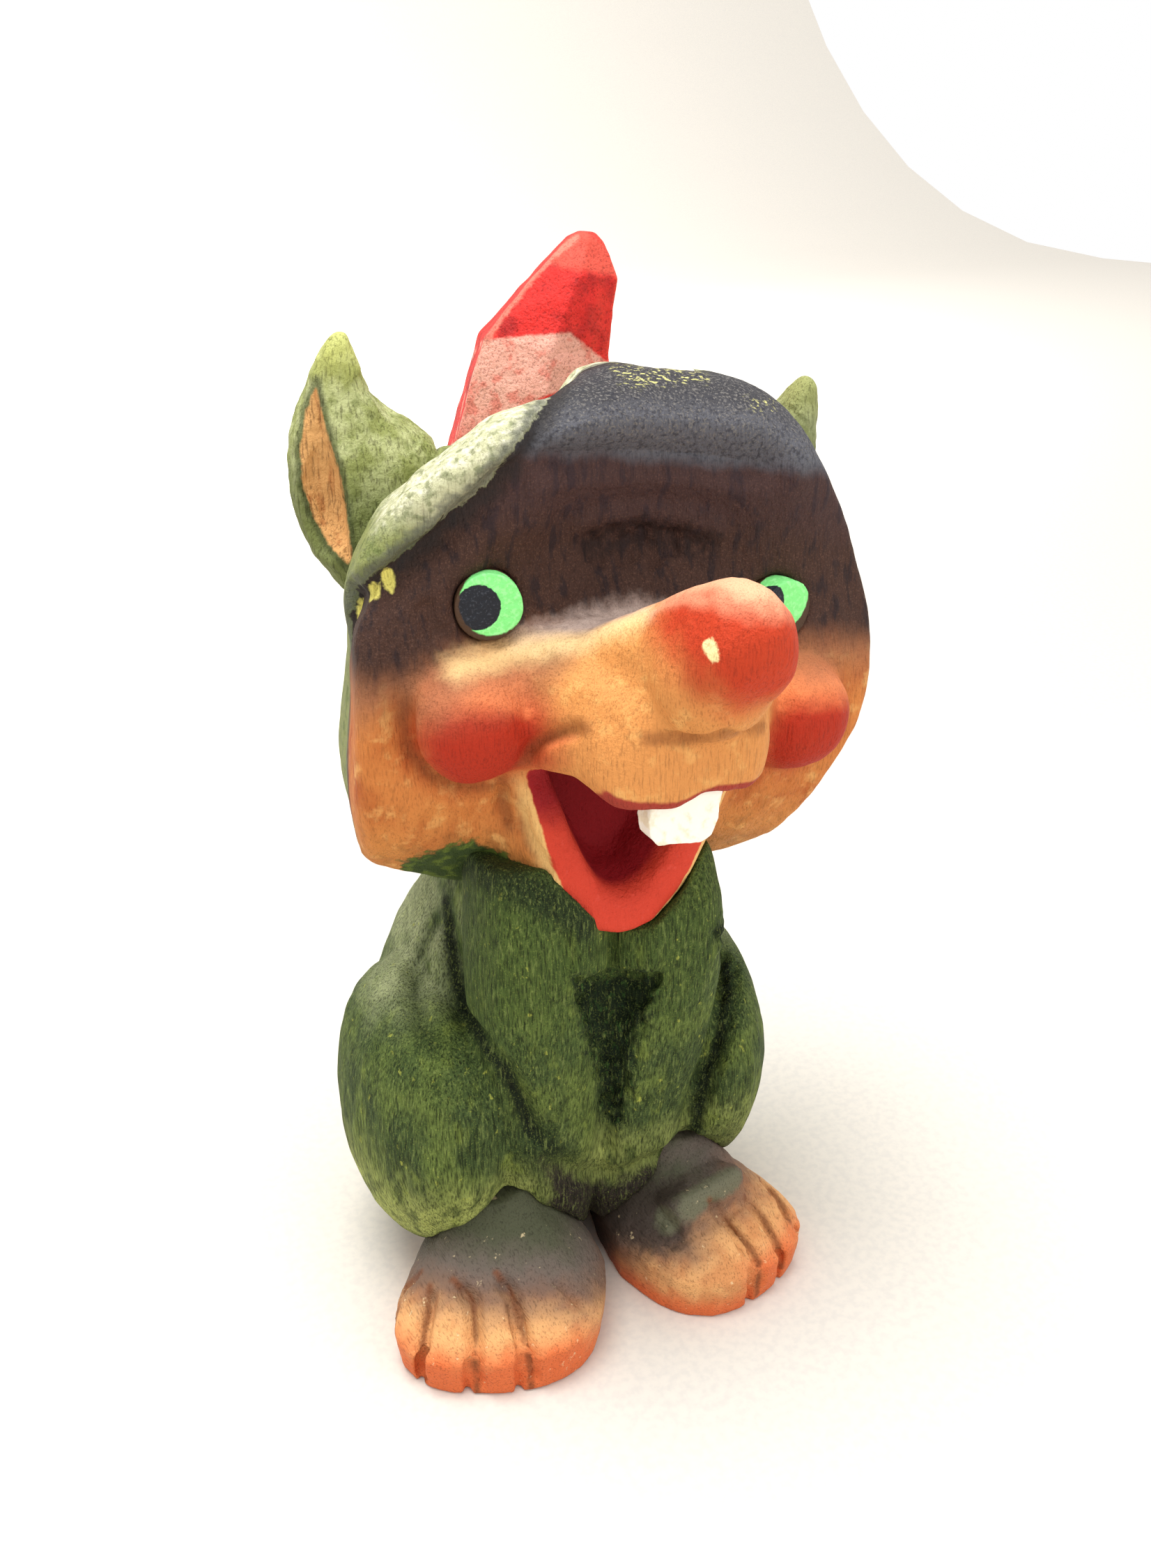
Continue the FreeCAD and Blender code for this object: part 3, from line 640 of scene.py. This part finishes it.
def face_finish():
    look = Finish("face_paint")
    grain = look.noise(0.20, 3.0, (1, 1, 10))
    fine = look.noise(0.20, 3.0, shift=9.0)
    cuts = look.noise(1.1, 4.0, (1, 1, 4), shift=12.0)
    # orange stain, lighter on the muzzle, with a painted highlight where it faces up
    look.base((202, 124, 62))
    look.coat((216, 146, 80), look.border("front", -0.5, 4.0, 1.5, 4.0), 0.85)
    blotches = look.patches(0.42, 0.68, 5.0, 4.0, (1, 1, 1.8))
    look.coat((172, 86, 36), blotches, look.border("front", 5.0, -4.0))
    streaks = look.patches(0.50, 0.66, 1.8, 5.0, (1, 1, 3), 6.0)
    look.coat((120, 66, 28), streaks, look.border("height", 74.0, 62.0), 0.6)
    look.coat((206, 146, 78), look.border("height", 72.0, 60.0, 3.0, 5.0), 0.5)
    look.coat((232, 176, 104), look.patches(0.52, 0.72, 2.4, 4.0, shift=4.0), 0.6)
    look.coat((238, 176, 112), look.border("upward", 0.30, 0.95), look.border("front", -5.0, 1.0), 0.35)
    # red cheeks and nose with painted highlights where they face up, the nose with its cream spot
    look.coat((170, 30, 14), look.border("cheek", -2.5, 4.0, 1.2, 3.0), 0.95)
    # painted highlight on the tops of the cheeks
    cheek = look.border("cheek", -3.5, 1.0, 1.2, 3.0)
    look.coat((252, 144, 86), cheek, look.border("upward", 0.18, 0.78), 0.9)
    nose = look.border("nose", -0.8, 4.0, 1.2, 3.0)
    look.coat((188, 48, 22), nose, 0.94)
    # painted highlight on the top of the nose
    look.coat((250, 192, 150), nose, look.border("upward", 0.40, 0.98), 0.8)
    # painted shade in the carved creases
    look.coat((116, 62, 30), look.border("crease_shade", 0.2, 1.6, 0.4, 1.0), 0.55)
    look.coat((246, 222, 160), look.border("spot", 0.0, 0.35, 0.5, 0.8))
    # the dark forehead, fading into the face, with painted highlights along its foot
    look.coat((140, 92, 66), look.border("brow", -6.0, 1.0, 1.8, 4.0, (1, 1, 2)), 0.8)
    look.coat((66, 44, 36), look.border("brow", -1.0, 4.0, 1.5, 3.0, (1, 1, 2)))
    dark = look.border("brow", 0.0, 4.0)
    look.coat((104, 74, 60), dark, look.between(fine, 0.52, 0.66), 0.5)
    look.coat((34, 26, 30), dark, look.between(cuts, 0.50, 0.66), 0.7)
    look.coat((76, 58, 66), dark, look.border("height", 98.0, 104.0, 2.0, 5.0), 0.25)
    # painted highlight on the bridge and on the muzzle's top edge
    look.coat((222, 196, 182), look.border("highlight_band", -1.6, 1.2, 1.2, 1.5), 0.7)
    look.coat((252, 210, 146), look.border("shine", -0.8, 2.6, 0.9, 1.5), 0.75)
    strokes = look.patches(0.36, 0.56, 0.8, 5.0, (1, 1, 2), 14.0)
    look.coat((36, 24, 22), look.border("chisel", 0.0, 2.6, 1.4, 1.4), strokes, 0.75)
    # the blue-black fringe, with painted shade where it faces up, a painted sheen in specks on its top and
    # bare yellow spots
    fringe = look.border("height", 107.4, 109.4, 1.0, 3.0)
    look.coat((90, 90, 96), fringe)
    # painted shade where the fringe faces up
    look.coat((50, 48, 50), fringe, look.border("upward", 0.45, 0.95), 0.9)
    look.coat((44, 44, 52), fringe, look.patches(0.48, 0.64, 0.6, 5.0, shift=5.0), 0.6)
    # pale specks on the fringe's top: a painted sheen
    sheen_specks = look.product(look.patches(0.50, 0.66, 0.30, 5.0), look.border("height", 108.0, 112.5, 2.0, 3.0))
    look.coat((112, 108, 104), fringe, sheen_specks)
    specks = look.patches(0.55, 0.62, 0.45, 3.0, (1.6, 1, 1), 2.0)
    look.coat((206, 200, 128), look.border("bare", -0.2, 0.8, 0.8, 1.2), specks)
    # the green hair, paler by the fringe, with painted highlights where it faces up and painted shade under
    # its lip
    # painted shade under the hair's raised lip
    look.coat((40, 36, 34), look.border("hair", -3.0, -0.6, 1.0, 1.6), 0.8)
    green = look.border("hair", -0.3, 0.2, 0.8, 1.0)
    look.coat((136, 142, 86), green)
    look.coat((96, 108, 58), green, look.patches(0.50, 0.66, 2.0, 6.0), 0.8)
    crown = look.border("height", 98.0, 102.5, 1.5, 3.0)
    near = look.product(look.border("hair", 10.0, 4.0, 2.0, 4.0), crown)
    look.coat((204, 202, 166), green, near, 0.75)
    look.coat((116, 122, 84), green, look.patches(0.48, 0.64, 1.1, 6.0, shift=8.0), 0.75)
    # pale patches where the hair faces up: a painted highlight
    lit_patches = look.patches(0.42, 0.70, 0.9, 6.0, shift=6.0)
    look.coat((228, 224, 196), green, near, look.border("upward", 0.1, 0.6), lit_patches)
    look.coat((84, 86, 78), green, look.border("hair", 1.9, 0.2, 1.4, 1.0), 0.8)
    look.coat((226, 214, 112), look.border("nick", 0.1, 0.45, 0.25, 0.6))
    # dark green under the jaw and on the head's underside, where it meets the neck: painted shade
    throat = look.border("throat", -0.2, 0.4, 1.0, 1.6)
    look.coat((54, 70, 32), throat)
    look.coat((92, 108, 42), throat, look.patches(0.46, 0.64, 1.6, 4.0))
    # the mouth, with a painted highlight along the outside of its rim and painted shade deep inside it
    rim = look.border("mouth", -1.8, -0.1, 0.5, 1.5)
    # painted highlight along the outside of the rim
    look.coat((240, 196, 124), rim, look.border("height", 76.0, 72.0), 0.75)
    look.coat((160, 58, 44), look.border("lip", -0.1, 0.35, 0.25, 1.0))
    red = look.border("mouth", 0.2, 0.5, 0.2, 0.9)
    look.coat((206, 64, 44), red)
    look.coat((216, 78, 62), red, look.patches(0.58, 0.72, 0.8, 4.0), 0.5)
    # painted shade high in the mouth under the upper lip and down in its hollow
    look.coat((150, 26, 30), red, look.border("height", 67.5, 72.0, 1.0, 2.0))
    look.coat((144, 24, 30), red, look.border("hollow", -0.2, 2.0))
    outside = look.border("mouth", 0.3, -0.2)
    look.coat((70, 40, 22), look.between(grain, 0.52, 0.30), outside, 0.28, kind="MULTIPLY")
    pits = look.noise(0.6, 5.0, shift=3.0)
    look.close(0.66, 0.18, bumps=[(grain, 0.12), (fine, 0.10), (pits, 0.22), (cuts, 0.25)])
    return look


def make_head():
    head = head_blank()
    work = Carving(head)
    work.cut(CREASES.values())
    work.cut(HOOD_STROKES.values())
    # the upper lip hangs lowest beside the tooth, and the crown is lower before the cap
    down = head_point([0, 0, -1]) - head_point([0, 0, 0])
    work.points += down * (LIP_DROP * (1 - soft_step(work.off(UPPER_LIP), 0.8, 5.5)))[:, None]
    work.points[:, 2] -= CREST_DROP * (1 - soft_step(work.off(CREST), 2.0, 8.0))
    work.write()
    top = to_head(work.seen(HAIRLINE))[0, 1]
    roll_hair(work, top)
    # knife marks
    for k in range(CHISEL_COUNT):
        x = CHISEL_FIRST[0] + CHISEL_PITCH * k
        y = CHISEL_FIRST[1] + CHISEL_SWAY * math.sin(k * 2.3)
        stroke = [(x, y), (x + CHISEL_RUN[0], y + CHISEL_RUN[1])]
        work.press(work.seen(stroke), width=1.2, depth=0.65)
    work.cut(BROW_STROKES.values())
    nicks = [work.seen([pixel]) + np.array([(0, 0, 0), NICK_RUN]) for pixel in NICK_TOPS]
    for nick in nicks:
        work.press(nick, width=1.0, depth=0.5, taper=0)
    work.write()
    work.rough(size=3.4, height=0.16, stretch=(1, 1, 0.6))
    work.rough(size=1.2, height=0.07, stretch=(1, 1, 0.4), shift=5.0)
    work.write()
    mark_head(work, top, nicks)
    ready(head, face_finish(), "head")


# The body: lines and outlines in the photograph's frame

RECESS_DEPTH = 1.3
TORN_WOOD = 0.9
NECK_EDGE = [(655, 1238), (690, 1246), (750, 1275), (800, 1300), (840, 1330)]
NECK_RISE = 2.4
NEAR_ARM = [
    (640, 1290), (645, 1340), (655, 1400), (668, 1450), (692, 1492), (722, 1532), (745, 1580),
    (762, 1622), (795, 1652),
]
FAR_ARM = [(1031, 1335), (1040, 1385), (1043, 1430), (1034, 1490), (1015, 1540), (1003, 1585), (998, 1620)]
SHOULDER = [(636, 1300), (615, 1340), (598, 1380), (595, 1420), (603, 1470), (622, 1505)]
BODY_STROKES = (
    (NEAR_ARM, 2.6, 1.2),
    (NEAR_ARM, 1.3, 0.9),
    (SHOULDER, 2.4, 1.0),
    (FAR_ARM, 2.8, 2.0),
)
ARM_STROKES = {
    "between the arms": ([(868, 1545), (868, 1600), (870, 1645), (873, 1675)], 1.8, 0.9),
    "on the chest": ([(813, 1350), (815, 1375), (822, 1400)], 1.8, 0.7),
    "under the hands": (
        [(770, 1655), (830, 1688), (875, 1695), (930, 1672), (990, 1648), (1045, 1640)], 3.0, 1.2
    ),
    "before the haunch": ([(560, 1560), (600, 1620), (660, 1660), (720, 1670)], 5.0, 0.5),
}
RECESS = [
    (825, 1408), (850, 1396), (905, 1392), (952, 1400), (940, 1440), (915, 1500), (905, 1560),
    (893, 1620), (868, 1600), (855, 1540), (838, 1480), (826, 1440),
]
SEAT_EDGE = 7.0
SHADED_FOOTING = [
    (745, 1790), (792, 1712), (775, 1660), (835, 1690), (875, 1696), (930, 1672), (990, 1648),
    (1045, 1640), (1100, 1655), (1090, 1760), (900, 1800),
]


def body_finish():
    look = Finish("body_paint")
    grain = look.noise(0.20, 3.0, (1, 1, 9))
    fine = look.noise(0.22, 3.0, shift=9.0)
    fibre = look.noise(0.33, 4.0, (1, 1, 7), shift=15.0)
    # green stain in patches, yellower low down, with painted shade on the chest under the head and painted
    # highlights on the shoulders
    look.base((66, 82, 44))
    look.coat((98, 114, 54), look.patches(0.42, 0.62, 6.0, 5.0, (1, 1, 1.6)), 0.9)
    look.coat((198, 206, 116), look.border("height", 27, 12, 5.0, 6.0), 0.8)
    # painted shade on the chest under the head
    look.coat((44, 56, 20), look.border("height", 42, 50, 3.0, 4.0), look.border("behind", 2.0, -4.0), 0.55)
    look.coat((128, 142, 62), look.patches(0.55, 0.70, 2.6, 5.0, (1, 1, 2.2), 7.0), 0.6)
    look.coat((44, 60, 28), look.patches(0.48, 0.66, 1.7, 6.0, (1, 1, 3.0), 3.0), 0.65)
    look.coat((82, 102, 46), look.border("height", 30, 48), 0.5)
    # paler where the shoulders and back face up: a painted highlight
    shoulders = look.product(look.border("height", 37.0, 47.0, 3.0, 4.0), look.border("behind", -5.0, 6.0))
    look.coat((206, 210, 162), look.border("upward", -0.05, 0.7, 0.25, 1.6), shoulders, 0.72)
    look.coat((190, 194, 84), look.patches(0.66, 0.74, 0.9, 3.0, (1, 1, 1.5), 1.0), 0.6)
    # painted shade in the folds, in the recess, under the head and down to the feet
    look.coat((26, 44, 22), look.border("fold", 0.2, 2.8, 1.0, 1.2), 0.6)
    look.coat((14, 24, 14), look.border("fold", 1.7, 2.8, 0.5, 0.8), 0.9)
    look.coat((16, 30, 18), look.border("recess", -0.8, 1.2, 2.6, 1.4), 0.92)
    moss = look.patches(0.54, 0.68, 0.7, 5.0, (1, 1, 2), 16.0)
    look.coat((58, 92, 40), look.border("recess", -1.0, 0.6), moss, 0.7)
    look.coat((34, 46, 26), look.border("collar", 0.0, 3.0, 1.2, 1.5), 0.8)
    # painted shade low down and between the feet
    look.coat((38, 52, 26), look.border("footing", -3.4, -0.4, 1.4, 1.6), 0.6)
    look.coat((54, 46, 40), look.border("footing", -0.6, 1.0, 1.0, 1.6))
    # painted shade on the low edge where the skin faces down
    look.coat((40, 54, 24), look.border("height", 8.5, 3.0, 1.2, 2.0), look.border("upward", 0.2, -0.3), 0.7)
    # the wood's own lines
    look.coat((150, 164, 78), look.between(fine, 0.54, 0.70), 0.35)
    look.coat((146, 160, 88), look.between(fibre, 0.54, 0.68), 0.34)
    look.coat((24, 36, 16), look.between(fibre, 0.47, 0.36), 0.42)
    look.coat((32, 42, 16), look.between(grain, 0.56, 0.32), 0.65, kind="MULTIPLY")
    pits = look.noise(0.8, 5.0, (1, 1, 2), shift=3.0)
    look.close(0.74, 0.15, bumps=[(grain, 0.26), (fine, 0.12), (fibre, 0.25), (pits, 0.35)])
    return look


def make_body():
    body = blank_from("body", "carved_body")
    skinned(body, voxel=0.46, rounds=18)
    work = Carving(body)
    work.cut(BODY_STROKES)
    work.cut(ARM_STROKES.values())
    work.write()
    # the recess between the arms and the far arm's fold are cut roughly
    wander = work.lumps(1.3)
    depth = RECESS_DEPTH + wander * TORN_WOOD
    work.move(-soft_step(work.inside(RECESS) + wander * TORN_WOOD, -0.5, 1.6) * depth)
    work.move(-soft_step(3.0 - work.off(FAR_ARM), 0, 2.5) * wander * TORN_WOOD)
    # the neck's edge is drawn up against the head, so that no gap shows between the two
    work.points[:, 2] += NECK_RISE * (1 - soft_step(work.off(NECK_EDGE), 1.5, 6.0))
    work.write()
    work.rough(size=4.0, height=0.22, stretch=(1, 1, 0.4))
    work.rough(size=1.3, height=0.10, stretch=(1, 1, 0.3), shift=3.0)
    work.write()
    x, y, z = work.points.T
    work.mark("recess", work.inside(RECESS))
    work.mark("height", z)
    work.mark("upward", work.normals[:, 2])
    work.mark("behind", y)
    work.mark("footing", np.maximum(work.inside(SHADED_FOOTING), np.where(y > 12, -9, SEAT_EDGE - z)))
    work.mark("fold", 3.0 - np.minimum(work.off_any([NEAR_ARM, FAR_ARM]), work.off(SHOULDER) + 0.8))
    work.mark("collar", 3.5 - work.off(NECK_EDGE))
    ready(body, body_finish(), "body")


# The feet: lines and outlines in the photograph's frame

TOE_CUTS = {
    "right": (
        ([(604, 1826), (583, 1846), (563, 1890), (556, 1915)], 0.9, 0.8),
        ([(617, 1845), (615, 1878), (606, 1930), (604, 1985)], 1.3, 1.5),
        ([(650, 1836), (678, 1866), (682, 1910), (681, 1955), (685, 1998)], 1.4, 1.7),
        ([(712, 1826), (735, 1858), (747, 1900), (759, 1945), (762, 1992)], 1.4, 1.7),
    ),
    "left": (
        ([(1018, 1722), (1042, 1750), (1078, 1793), (1089, 1812), (1086, 1858)], 1.3, 1.4),
        ([(1070, 1716), (1096, 1750), (1117, 1788), (1121, 1818)], 1.1, 1.2),
        ([(1090, 1690), (1118, 1722), (1133, 1752)], 1.0, 1.0),
    ),
}
CUFF = [(958, 1750), (1000, 1722), (1052, 1690)]
CUFF_FOOT = [(945, 1795), (985, 1768), (1040, 1735), (1066, 1716)]
GOUGED = [
    (838, 1700), (930, 1690), (985, 1690), (990, 1760), (975, 1795), (935, 1800), (890, 1782),
    (862, 1800), (845, 1842), (830, 1800),
]
DARK_ANKLE = {
    "right": [
        (545, 1836), (620, 1848), (700, 1866), (780, 1862), (840, 1862), (880, 1836),
        (900, 1600), (500, 1600),
    ],
    "left": [
        (840, 1850), (870, 1800), (930, 1795), (985, 1790), (1005, 1752), (1060, 1712),
        (1060, 1600), (800, 1600),
    ],
}
ANKLE_HEIGHT = 12.5
SOLE_EDGE = 3.0
RED_TOES = {
    "right": [(540, 1895), (605, 1935), (680, 1948), (765, 1935), (875, 1905), (880, 2020), (540, 2020)],
    "left": [(1078, 1815), (1120, 1775), (1150, 1740), (1150, 1860), (1078, 1880)],
}
FOOT_NICKS = {
    "right": [[(792 + 9 * k, 1838 + 7 * k), (812 + 7 * k, 1846 + 9 * k)] for k in range(5)],
    "left": [
        [(934 + 10 * k, 1742 + 8 * math.sin(2.1 * k)), (950 + 9 * k, 1778 + 7 * k)] for k in range(5)
    ],
}


def foot_finish(side):
    look = Finish("foot_paint_" + side)
    grain = look.noise(0.22, 3.0, (1, 7, 1))
    fine = look.noise(0.22, 3.0, shift=9.0)
    look.base((222, 164, 106))
    look.coat((190, 118, 68), look.patches(0.45, 0.66, 4.0, 4.0), 0.6)
    look.coat((214, 98, 50), look.border("glow", -2.2, 2.2, 1.4, 3.0), 0.88)
    look.coat((104, 82, 72), look.border("ankle", -4.4, 1.2, 1.6, 3.0), 0.92)
    look.coat((104, 92, 84), look.border("ankle", -0.2, 3.5, 1.2, 2.0))
    look.coat((76, 78, 58), look.border("ankle", 2.0, 7.0, 1.6, 2.0))
    look.coat((62, 52, 46), look.border("gouged", -1.2, 1.4, 1.6, 0.8, (1, 1, 2)), 0.85)
    look.coat((104, 104, 82), look.border("cuff", 0.2, 1.4, 0.5, 0.8), 0.9)
    # painted shade in the toe grooves
    look.coat((112, 62, 34), look.border("groove_shade", 0.5, 1.25, 0.2, 0.6), 0.75)
    look.coat((238, 214, 168), look.patches(0.66, 0.73, 1.1, 4.0, shift=3.0), 0.55)
    look.coat((60, 30, 12), look.between(grain, 0.50, 0.30), 0.4, kind="MULTIPLY")
    look.close(0.66, 0.18, bumps=[(grain, 0.14), (fine, 0.08), (look.noise(0.7, 5.0, shift=3.0), 0.20)])
    return look


def make_foot(side):
    foot = blank_from("foot_" + side, "carved_foot_" + side)
    skinned(foot, voxel=0.30, rounds=10)
    work = Carving(foot)
    # the left foot has a rolled cuff and gouges before its ankle
    cuffed = side == "left"
    if cuffed:
        work.press(work.seen(CUFF), width=4.2, depth=-3.0, taper=0.08)
        work.press(work.seen(CUFF_FOOT), width=1.8, depth=0.9)
        work.write()
    work.cut(TOE_CUTS[side], sharp=True, taper=0.12)
    for line in FOOT_NICKS[side]:
        work.press(work.seen(line), width=0.8, depth=0.45)
    work.write()
    work.rough(size=2.2, height=0.12)
    work.rough(size=0.9, height=0.05, shift=2.0)
    work.write()
    x, y, z = work.points.T
    work.mark("groove_shade", 1.3 - work.off_any(line for line, width, depth in TOE_CUTS[side]))
    work.mark("cuff", 2.6 - work.off(CUFF) if cuffed else work.HIDDEN)
    work.mark("gouged", work.inside(GOUGED) if cuffed else work.HIDDEN)
    work.mark("ankle", np.maximum(work.inside(DARK_ANKLE[side]), np.minimum(z - ANKLE_HEIGHT, 6.0)))
    work.mark("glow", np.maximum(work.inside(RED_TOES[side]), np.where(y < 0, SOLE_EDGE - z, -5)))
    ready(foot, foot_finish(side), "foot_" + side)


# The ears: the opening in the photograph's frame, the edge by the crown in the head's own frame

EAR_OPENING = [
    (455, 545), (437, 590), (428, 645), (432, 695), (447, 740), (470, 782), (500, 815), (508, 800),
    (500, 740), (490, 680), (472, 620), (460, 570),
]
EAR_EDGE = [
    (-29.6, 1.0, 117.2), (-26.7, 2.2, 113.9), (-25.1, 1.6, 111.9), (-22.2, 2.5, 109.5),
    (-19.3, 3.2, 107.2), (-18.0, 2.5, 106.0),
]
EAR_MIRROR = {"right": (1, 1, 1), "left": (-1, 1, 1)}
SCOOP_DEPTH = 1.2


def ear_finish(side):
    look = Finish("ear_paint_" + side)
    lines = look.noise(0.28, 2.0, (1, 1, 12))
    fine = look.noise(0.26, 3.0, shift=9.0)
    look.base((138, 144, 84))
    look.coat((190, 194, 142), look.patches(0.38, 0.62, 3.2, 6.0), 0.75)
    look.coat((100, 110, 54), look.patches(0.50, 0.68, 0.9, 6.0, shift=5.0), 0.5)
    # darker towards the ear's base as painted shade, and at the top the tips' own yellow with a painted
    # highlight
    look.coat((96, 104, 56), look.border("height", 106, 98, 1.5, 2.0), 0.8)
    look.coat((190, 192, 108), look.border("height", 110, 116, 1.5, 2.0), 0.75)
    look.coat((60, 66, 36), look.border("opening", -0.7, -0.1, 0.3, 1.0), 0.7)
    # the far ear is darker all over: painted shade
    if side == "left":
        look.coat((106, 112, 84), 0.5)
    # brown wood in the opening
    inner = look.border("opening", 0.0, 0.35, 0.3, 1.0)
    look.coat((206, 154, 96), inner)
    look.coat((176, 118, 68), inner, look.patches(0.5, 0.68, 1.2, 4.0, (1, 1, 4)))
    look.coat((60, 40, 20), look.between(lines, 0.50, 0.30), 0.5, kind="MULTIPLY")
    look.close(0.72, 0.15, bumps=[(lines, 0.14), (fine, 0.12), (look.noise(0.7, 5.0, shift=3.0), 0.30)])
    return look


def make_ear(side):
    ear = blank_from("ear_" + side, "carved_ear_" + side)
    skinned(ear, voxel=0.26, rounds=12)
    work = Carving(ear)
    edge = from_head(np.array(EAR_EDGE) * EAR_MIRROR[side])
    work.press(edge, width=8.0, depth=2.1, taper=0.62)
    work.write()
    # only the right ear shows the camera its opening
    open_ear = side == "right"
    if open_ear:
        work.move(-soft_step(work.inside(EAR_OPENING), -0.2, 1.4) * SCOOP_DEPTH)
    work.write()
    work.rough(size=2.6, height=0.22)
    work.rough(size=1.0, height=0.10, shift=4.0)
    work.write()
    work.mark("opening", work.inside(EAR_OPENING) if open_ear else work.HIDDEN)
    work.mark("height", to_head(work.points)[:, 2])
    ready(ear, ear_finish(side), "ear_" + side)


# The cap: outlines in the photograph's frame

CAP_SALMON = [
    (690, 488), (752, 481), (818, 476), (850, 503), (885, 528), (840, 550), (780, 570), (700, 620),
    (600, 680), (600, 600), (660, 540),
]
CAP_TOP = [(765, 368), (800, 340), (840, 325), (870, 350), (895, 400), (850, 392), (805, 386)]
CAP_EDGE = [(697, 490), (740, 430), (790, 372), (825, 342)]
CAP_TURN = 0.15


def cap_finish():
    look = Finish("cap_paint")
    fine = look.noise(0.3, 4.0)
    look.base((212, 42, 36))
    look.coat((150, 28, 28), look.patches(0.45, 0.66, 3.0, 4.0), 0.7)
    # painted highlight on the facets that face right, towards the fill light
    look.coat((226, 60, 46), look.border("right", 0.1, 0.5))
    # the facet that faces up is painted pale salmon as a highlight, and redder towards its foot
    look.coat((232, 176, 156), look.border("salmon", -0.15, 0.3, 0.25, 0.8), 0.85)
    salmon = look.border("salmon", -0.15, 0.3)
    look.coat((206, 92, 74), salmon, look.patches(0.5, 0.64, 2.0, 4.0, shift=3.0), 0.6)
    look.coat((208, 88, 74), salmon, look.border("height", 111.0, 104.0, 2.0, 2.0), 0.8)
    # the top facet's pinker red is a painted highlight too
    look.coat((206, 84, 66), look.border("top", -0.3, 0.6, 0.4, 0.8), 0.8)
    look.coat((226, 142, 120), look.border("edge", 0.0, 0.6, 0.5, 0.7), 0.6)
    look.coat((70, 10, 10), look.between(fine, 0.50, 0.34), 0.4, kind="MULTIPLY")
    look.close(0.6, 0.2, bumps=[(fine, 0.16), (look.noise(1.0, 5.0, shift=3.0), 0.25)])
    return look


def make_cap():
    cap = blank_from("cap", "carved_cap")
    skinned(cap, voxel=0.30, rounds=4)
    work = Carving(cap)
    work.rough(size=3.0, height=0.16)
    work.rough(size=1.2, height=0.06, shift=6.0)
    work.write()
    # the painted highlights on the facets end where the skin turns away from the camera
    facing = (work.on_photo(work.points)[2] - CAP_TURN) * 6
    work.mark("salmon", np.minimum(work.inside(CAP_SALMON), facing))
    work.mark("top", np.minimum(work.inside(CAP_TOP), facing))
    work.mark("right", work.normals[:, 0])
    work.mark("height", work.points[:, 2])
    work.mark("edge", 0.8 - work.off(CAP_EDGE))
    ready(cap, cap_finish(), "cap")


# The eyes and the tooth: places in the photograph's frame

PUPIL_MIDDLE = {"right": (686, 872), "left": (1103, 868)}
PUPIL_RADIUS = 2.4
DISC_MIDDLE = {"right": (707, 865), "left": (1128, 862)}
DISC_RADIUS = 3.42


def make_eye(side):
    eye = blank_from("eye_" + side, "painted_eye_" + side)
    skinned(eye, voxel=0.12, rounds=4)
    work = Carving(eye)
    work.rough(size=0.7, height=0.05)
    work.write()
    pupil, disc = work.seen([PUPIL_MIDDLE[side], DISC_MIDDLE[side]])
    work.mark("pupil", PUPIL_RADIUS - np.linalg.norm(work.points - pupil, axis=1))
    work.mark("rim", np.linalg.norm(work.points - disc, axis=1) - DISC_RADIUS)
    look = Finish("eye_paint_" + side)
    fine = look.noise(0.25, 3.0)
    look.base((130, 232, 132))
    look.coat((166, 250, 164), look.patches(0.48, 0.62, 0.5, 4.0), 0.6)
    look.coat((24, 28, 36), look.border("pupil", -0.06, 0.06, 0.15, 0.4))
    look.coat((54, 58, 66), look.border("pupil", 0.2, 0.4), look.between(fine, 0.54, 0.66))
    look.coat((70, 48, 30), look.border("rim", 0.0, 0.2, 0.15, 0.5))
    look.close(0.6, 0.3, bumps=[(fine, 0.08)])
    ready(eye, look, "eye_" + side)


def make_tooth():
    tooth = blank_from("tooth", "carved_tooth")
    skinned(tooth, voxel=0.15, rounds=10)
    work = Carving(tooth)
    work.rough(size=1.6, height=0.14)
    work.write()
    look = Finish("tooth_paint")
    look.base((248, 244, 230))
    look.coat((222, 204, 156), look.patches(0.50, 0.66, 2.0, 4.0), 0.55)
    look.close(0.45, 0.4, bumps=[(look.noise(0.35, 3.0), 0.08)])
    ready(tooth, look, "tooth")


# The dowels

DOWELS = ("neck_dowel", "cap_dowel", "ankle_dowel_left", "ankle_dowel_right")


def finish_dowels():
    """The dowels keep their turned shape and get a plain wood finish."""
    look = Finish("bare_wood")
    grain = look.noise(0.3, 3.0, (1, 1, 9))
    look.base((214, 176, 124))
    look.coat((176, 130, 82), look.between(grain, 0.45, 0.65), 0.6)
    look.close(0.7, 0.2, bumps=[(grain, 0.08)])
    for name in DOWELS:
        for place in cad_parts[name].material_slots:
            place.material = look.material


set_camera()
set_light()
set_table()
make_head()
make_body()
for side in ("left", "right"):
    make_foot(side)
    make_ear(side)
    make_eye(side)
make_cap()
make_tooth()
finish_dowels()
